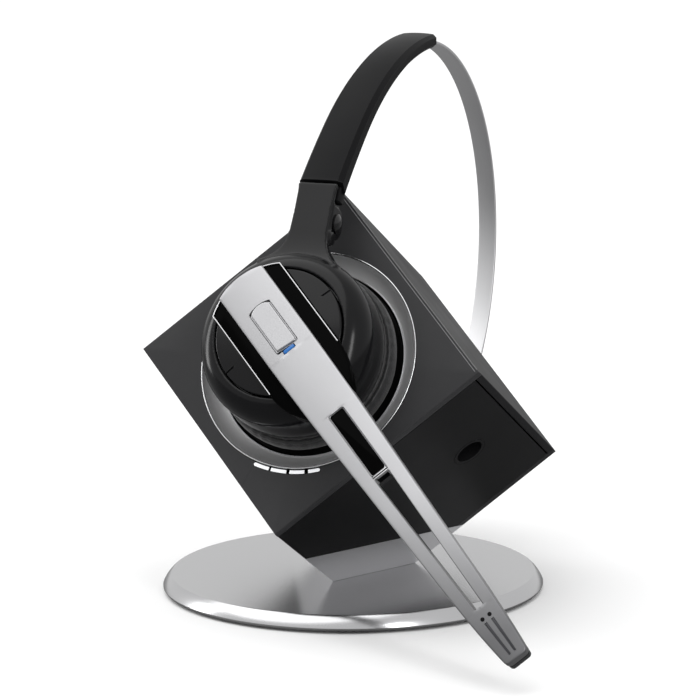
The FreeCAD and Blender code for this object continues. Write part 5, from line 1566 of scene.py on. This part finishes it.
# ---- the headband -------------------------------------------------------------------------------
@dataclass
class Headband:
    """The plastic sleeve, the steel strip that slides out of it, and the temple pad."""

    root_centre: tuple[float, float] = (-33.17, -201.26)
    root_radius: float = 229.47
    root_angle: float = 70.3
    turn_angle: float = 64.98
    sleeve_radius: float = 91.78
    sleeve_end: float = 28.64
    sleeve_half: tuple[float, float] = (6.1, 5.2)
    sleeve_thick: tuple[float, float] = (5.9, 3.6)
    strip_centre: tuple[float, float] = (49.82, -57.39)
    strip_radius: float = 59.01
    strip_join: float = 16.0
    strip_end: float = 128.0
    strip_width: float = 5.2
    strip_thick: float = 0.9
    strip_insert: float = 17.0
    bend_radius: float = 60.0
    fork_clear: float = 44.4
    fork_back: float = 12.6

    def build(self) -> None:
        """Build every piece of the headband."""
        self.build_sleeve()
        self.build_strip()
        self.build_pad()
        dress_nodes(SHELL, "hinge_knuckle")
        dress(softened("pad_holder", 0.3, "pad_holder_soft"), SHELL, "pad")
        dress_nodes(DARK_STEEL, "strip_clip", "pad_pin")

    def on_arc(self, centre: tuple[float, float], radius: float | np.ndarray,
               degrees: np.ndarray) -> np.ndarray:
        """Return (y, z) points on an arc of the middle plane."""
        a = np.radians(degrees)
        return np.array(centre) + radius * np.stack([np.cos(a), np.sin(a)], axis=-1)

    def sleeve_centre(self) -> np.ndarray:
        """Return the centre of the sleeve's upper curve, which the strip also slides around."""
        return self.on_arc(self.root_centre, self.root_radius - self.sleeve_radius, np.array(self.turn_angle))

    def build_sleeve(self) -> None:
        """Sweep the sleeve's section along two arcs that touch: crowned back, chamfers, narrowing to its end.

        Its root stays clear of the fork plate, and a small foot goes on behind the plate.
        """
        count = 110
        share = np.linspace(0, 1, count)
        root = self.root_radius * math.radians(self.root_angle - self.turn_angle)
        done = share * (root + self.sleeve_radius * math.radians(self.turn_angle - self.sleeve_end))
        first = self.root_angle - np.degrees(done / self.root_radius)
        second = self.turn_angle - np.degrees((done - root) / self.sleeve_radius)
        thick = np.interp(share, [0, 1], self.sleeve_thick)
        low = self.on_arc(self.root_centre, (self.root_radius - thick / 2)[:, None], first)
        high = self.on_arc(tuple(self.sleeve_centre()), (self.sleeve_radius - thick / 2)[:, None], second)
        path = np.where((done < root)[:, None], low, high)
        crown = np.linspace(0.82, -0.82, 15)
        back = np.stack([crown, 1.0 + 0.13 * (1 - (crown / 0.82) ** 2)], axis=1)
        corners = [(0.8, -1.0, 0.1), (1.0, -0.5, 0.1), (1.0, 0.5, 0.12), (0.82, 1.0, 0.0)]
        side = rounded_path(corners, False, 5)
        section = np.vstack([[[-0.8, -1.0]], side[:-1], back, (side[:-1] * [-1, 1])[::-1][:-1]])
        surface = swept(section, path, np.interp(share, [0, 1], self.sleeve_half), thick / 2)
        by_fork = surface.points[:, 2] > self.fork_back
        surface.points[by_fork, 1] = np.maximum(surface.points[by_fork, 1], self.fork_clear)
        sleeve = make_piece("headband_sleeve_skin", surface, FACE, 32.0)
        foot_path = np.array([[39.8, 10.25], [40.1, 10.25], [42.0, 10.25], [44.0, 10.3], [46.0, 10.0],
                              [47.5, 9.4]])
        foot = swept(rounded_rectangle(1.0, 1.0, 0.25), foot_path, np.array([4.9, 5.2, 5.25, 5.3, 5.3, 5.2]),
                     np.array([1.7, 1.9, 1.95, 1.95, 1.8, 1.5]))
        tongue = make_piece("sleeve_foot", foot, FACE, 32.0)
        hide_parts("headband_sleeve")
        dress(sleeve, SLEEVE, "headband")
        dress(tongue, SLEEVE, "headband")

    def strip_path(self) -> np.ndarray:
        """Return the strip's middle line: the part in the sleeve, a slight bend, then the round band."""
        centre = self.sleeve_centre()
        slide = self.sleeve_radius - self.sleeve_thick[1] / 2
        reach = math.degrees(self.strip_insert / slide)
        inside = self.on_arc(tuple(centre), slide, np.linspace(self.sleeve_end + reach, self.sleeve_end, 16))
        band = self.on_arc(self.strip_centre, self.strip_radius,
                           np.linspace(self.strip_join, -self.strip_end - 3.6, 120))
        chord = band[0] - inside[-1]
        normal = np.array([-chord[1], chord[0]]) / np.linalg.norm(chord)
        bulge = float(chord @ chord) / (8 * self.bend_radius)
        s = np.linspace(0, 1, 10)[1:-1, None]
        bend = inside[-1] + chord * s + normal * bulge * 4 * s * (1 - s)
        return np.vstack([inside, bend, band])

    def build_strip(self) -> None:
        """Sweep a thin rounded rectangle along the strip's middle line."""
        path = self.strip_path()
        half_w, half_t = self.strip_width / 2, self.strip_thick / 2
        section = rounded_rectangle(half_w, half_t, 0.22, 5) / np.array([half_w, half_t])
        count = len(path)
        surface = swept(section, path[::-1], np.full(count, half_w), np.full(count, half_t))
        strip = make_piece("headband_strip_brushed", surface, FACE, 50.0)
        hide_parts("headband_strip")
        dress(strip, STEEL, "strip")

    def build_pad(self) -> None:
        """Puff the temple pad: a flat-backed pillow whose rim tucks into a seam, with faint gathers there."""
        y, z = self.on_arc(self.strip_centre, self.strip_radius, np.array(-self.strip_end))
        place = FACE.tilted(float(y), float(z), 90.0 - self.strip_end)
        u = np.linspace(0, 2 * math.pi, 192, endpoint=False)[:, None]
        v = np.linspace(0, 1, 40)[None, :]
        cos, sin = np.cos(u), np.sin(u)
        power = 2.0 / 3.6
        rim_x = 14.9 * np.sign(cos) * np.abs(cos) ** power
        rim_y = 8.1 * np.sign(sin) * np.abs(sin) ** power
        gathers = 1 + 0.006 * np.sin(37 * u + np.sin(3 * u)) * np.exp(-((v - 0.33) / 0.12) ** 2)
        split = 0.3
        rise = np.clip((v - split) / (1 - split), 0, 1) * math.pi / 2
        height = np.where(v < split, 7.65 + 1.6 * (v / split), 9.25 + 5.1 * np.sin(rise) ** 0.8)
        seam = 1 - 0.03 * np.exp(-((v - split) / 0.025) ** 2)
        spread = np.where(v < split, 0.93 + 0.07 * np.sin(v / split * math.pi / 2),
                          np.clip(np.cos(rise), 0, 1) ** 0.42)
        k = gathers * seam * spread
        points = np.stack(np.broadcast_arrays(rim_x * k, rim_y * k, height), axis=-1)
        rows, cols = points.shape[:2]
        faces = grid_faces(rows, cols, True, False)
        faces.append(tuple((np.arange(rows) * cols)[::-1].tolist()))
        pad = make_piece("temple_pad_soft", Surface(points.reshape(-1, 3), faces), place, 80.0)
        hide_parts("temple_pad")
        dress(pad, HIDE, "pad")


# ---- the studio ---------------------------------------------------------------------------------
@dataclass
class Studio:
    """A pale floor, soft lights and the camera."""

    azimuth: float = 22.4
    elevation: float = 10.85
    roll: float = -0.52
    distance: float = 1093.2
    lens: float = 211.4
    target: tuple[float, float, float] = (-0.3, 0.0, 64.6)

    def build(self) -> None:
        """Build the floor, the lights and the camera."""
        self.build_floor()
        self.build_lights()
        self.build_camera()

    def build_floor(self) -> None:
        """Lay a large pale floor with a barely uneven sheen."""
        mesh = bpy.data.meshes.new("floor")
        size = 9.0
        corners = [(-size, -size, 0), (size, -size, 0), (size, size, 0), (-size, size, 0)]
        mesh.from_pydata(corners, [], [(0, 1, 2, 3)])
        floor = bpy.data.objects.new("floor", mesh)
        bpy.context.scene.collection.objects.link(floor)
        mesh.materials.append(Paper("floor_pale", (0.95, 0.95, 0.95)).material())

    def build_lights(self) -> None:
        """Set a dim even surround, a broad soft light overhead and two soft boxes for the long highlights."""
        world = bpy.data.worlds.new("surround")
        bpy.context.scene.world = world
        world.use_nodes = True
        world.node_tree.nodes["Background"].inputs["Color"].default_value = (1.0, 1.0, 1.0, 1.0)
        world.node_tree.nodes["Background"].inputs["Strength"].default_value = 0.76
        sky = bpy.data.lights.new("overhead", "SUN")
        sky.energy = 1.3
        sky.angle = math.radians(70.0)
        self.aim(bpy.data.objects.new("overhead", sky), (-0.35, -0.15, 1.0), (0, 0, 0))
        for name, place, size, power in (("box_left", (-1.0, -0.12, 0.2), (0.22, 0.9), 3.6),
                                         ("box_right", (0.8, -0.62, 0.42), (0.16, 0.8), 3.4)):
            lamp = bpy.data.lights.new(name, "AREA")
            lamp.shape = "RECTANGLE"
            lamp.size, lamp.size_y = size
            lamp.energy = power
            self.aim(bpy.data.objects.new(name, lamp), place, (0, 0, 0.06))

    def aim(self, thing: bpy.types.Object, place: Sequence[float], at: Sequence[float]) -> None:
        """Put a light or camera at a place, looking at a point, and add it to the scene."""
        bpy.context.scene.collection.objects.link(thing)
        thing.location = Vector(place)
        thing.rotation_euler = (Vector(at) - Vector(place)).to_track_quat("-Z", "Y").to_euler()

    def build_camera(self) -> None:
        """Set the camera on its viewing direction, with a hair of roll."""
        a, e = math.radians(self.azimuth), math.radians(self.elevation)
        back = Vector((math.sin(a) * math.cos(e), -math.cos(a) * math.cos(e), math.sin(e)))
        data = bpy.data.cameras.new("camera")
        data.lens = self.lens
        data.clip_start, data.clip_end = 0.05, 50.0
        camera = bpy.data.objects.new("camera", data)
        target = Vector(self.target) * MM
        self.aim(camera, target + back * self.distance * MM, target)
        turn = Matrix.Rotation(math.radians(self.roll), 4, back)
        camera.rotation_euler = (turn @ camera.rotation_euler.to_matrix().to_4x4()).to_euler()
        bpy.context.scene.camera = camera
        bpy.context.scene.view_settings.view_transform = "Standard"


def main() -> None:
    """Build each sub-assembly in turn, then the studio."""
    logging.basicConfig(level=logging.INFO, format="%(name)s: %(message)s")
    for part in (ChargingBase(), Earpiece(), Boom(), Headband(), Studio()):
        LOG.info("building %s", type(part).__name__)
        part.build()


if __name__ == "__main__":
    main()
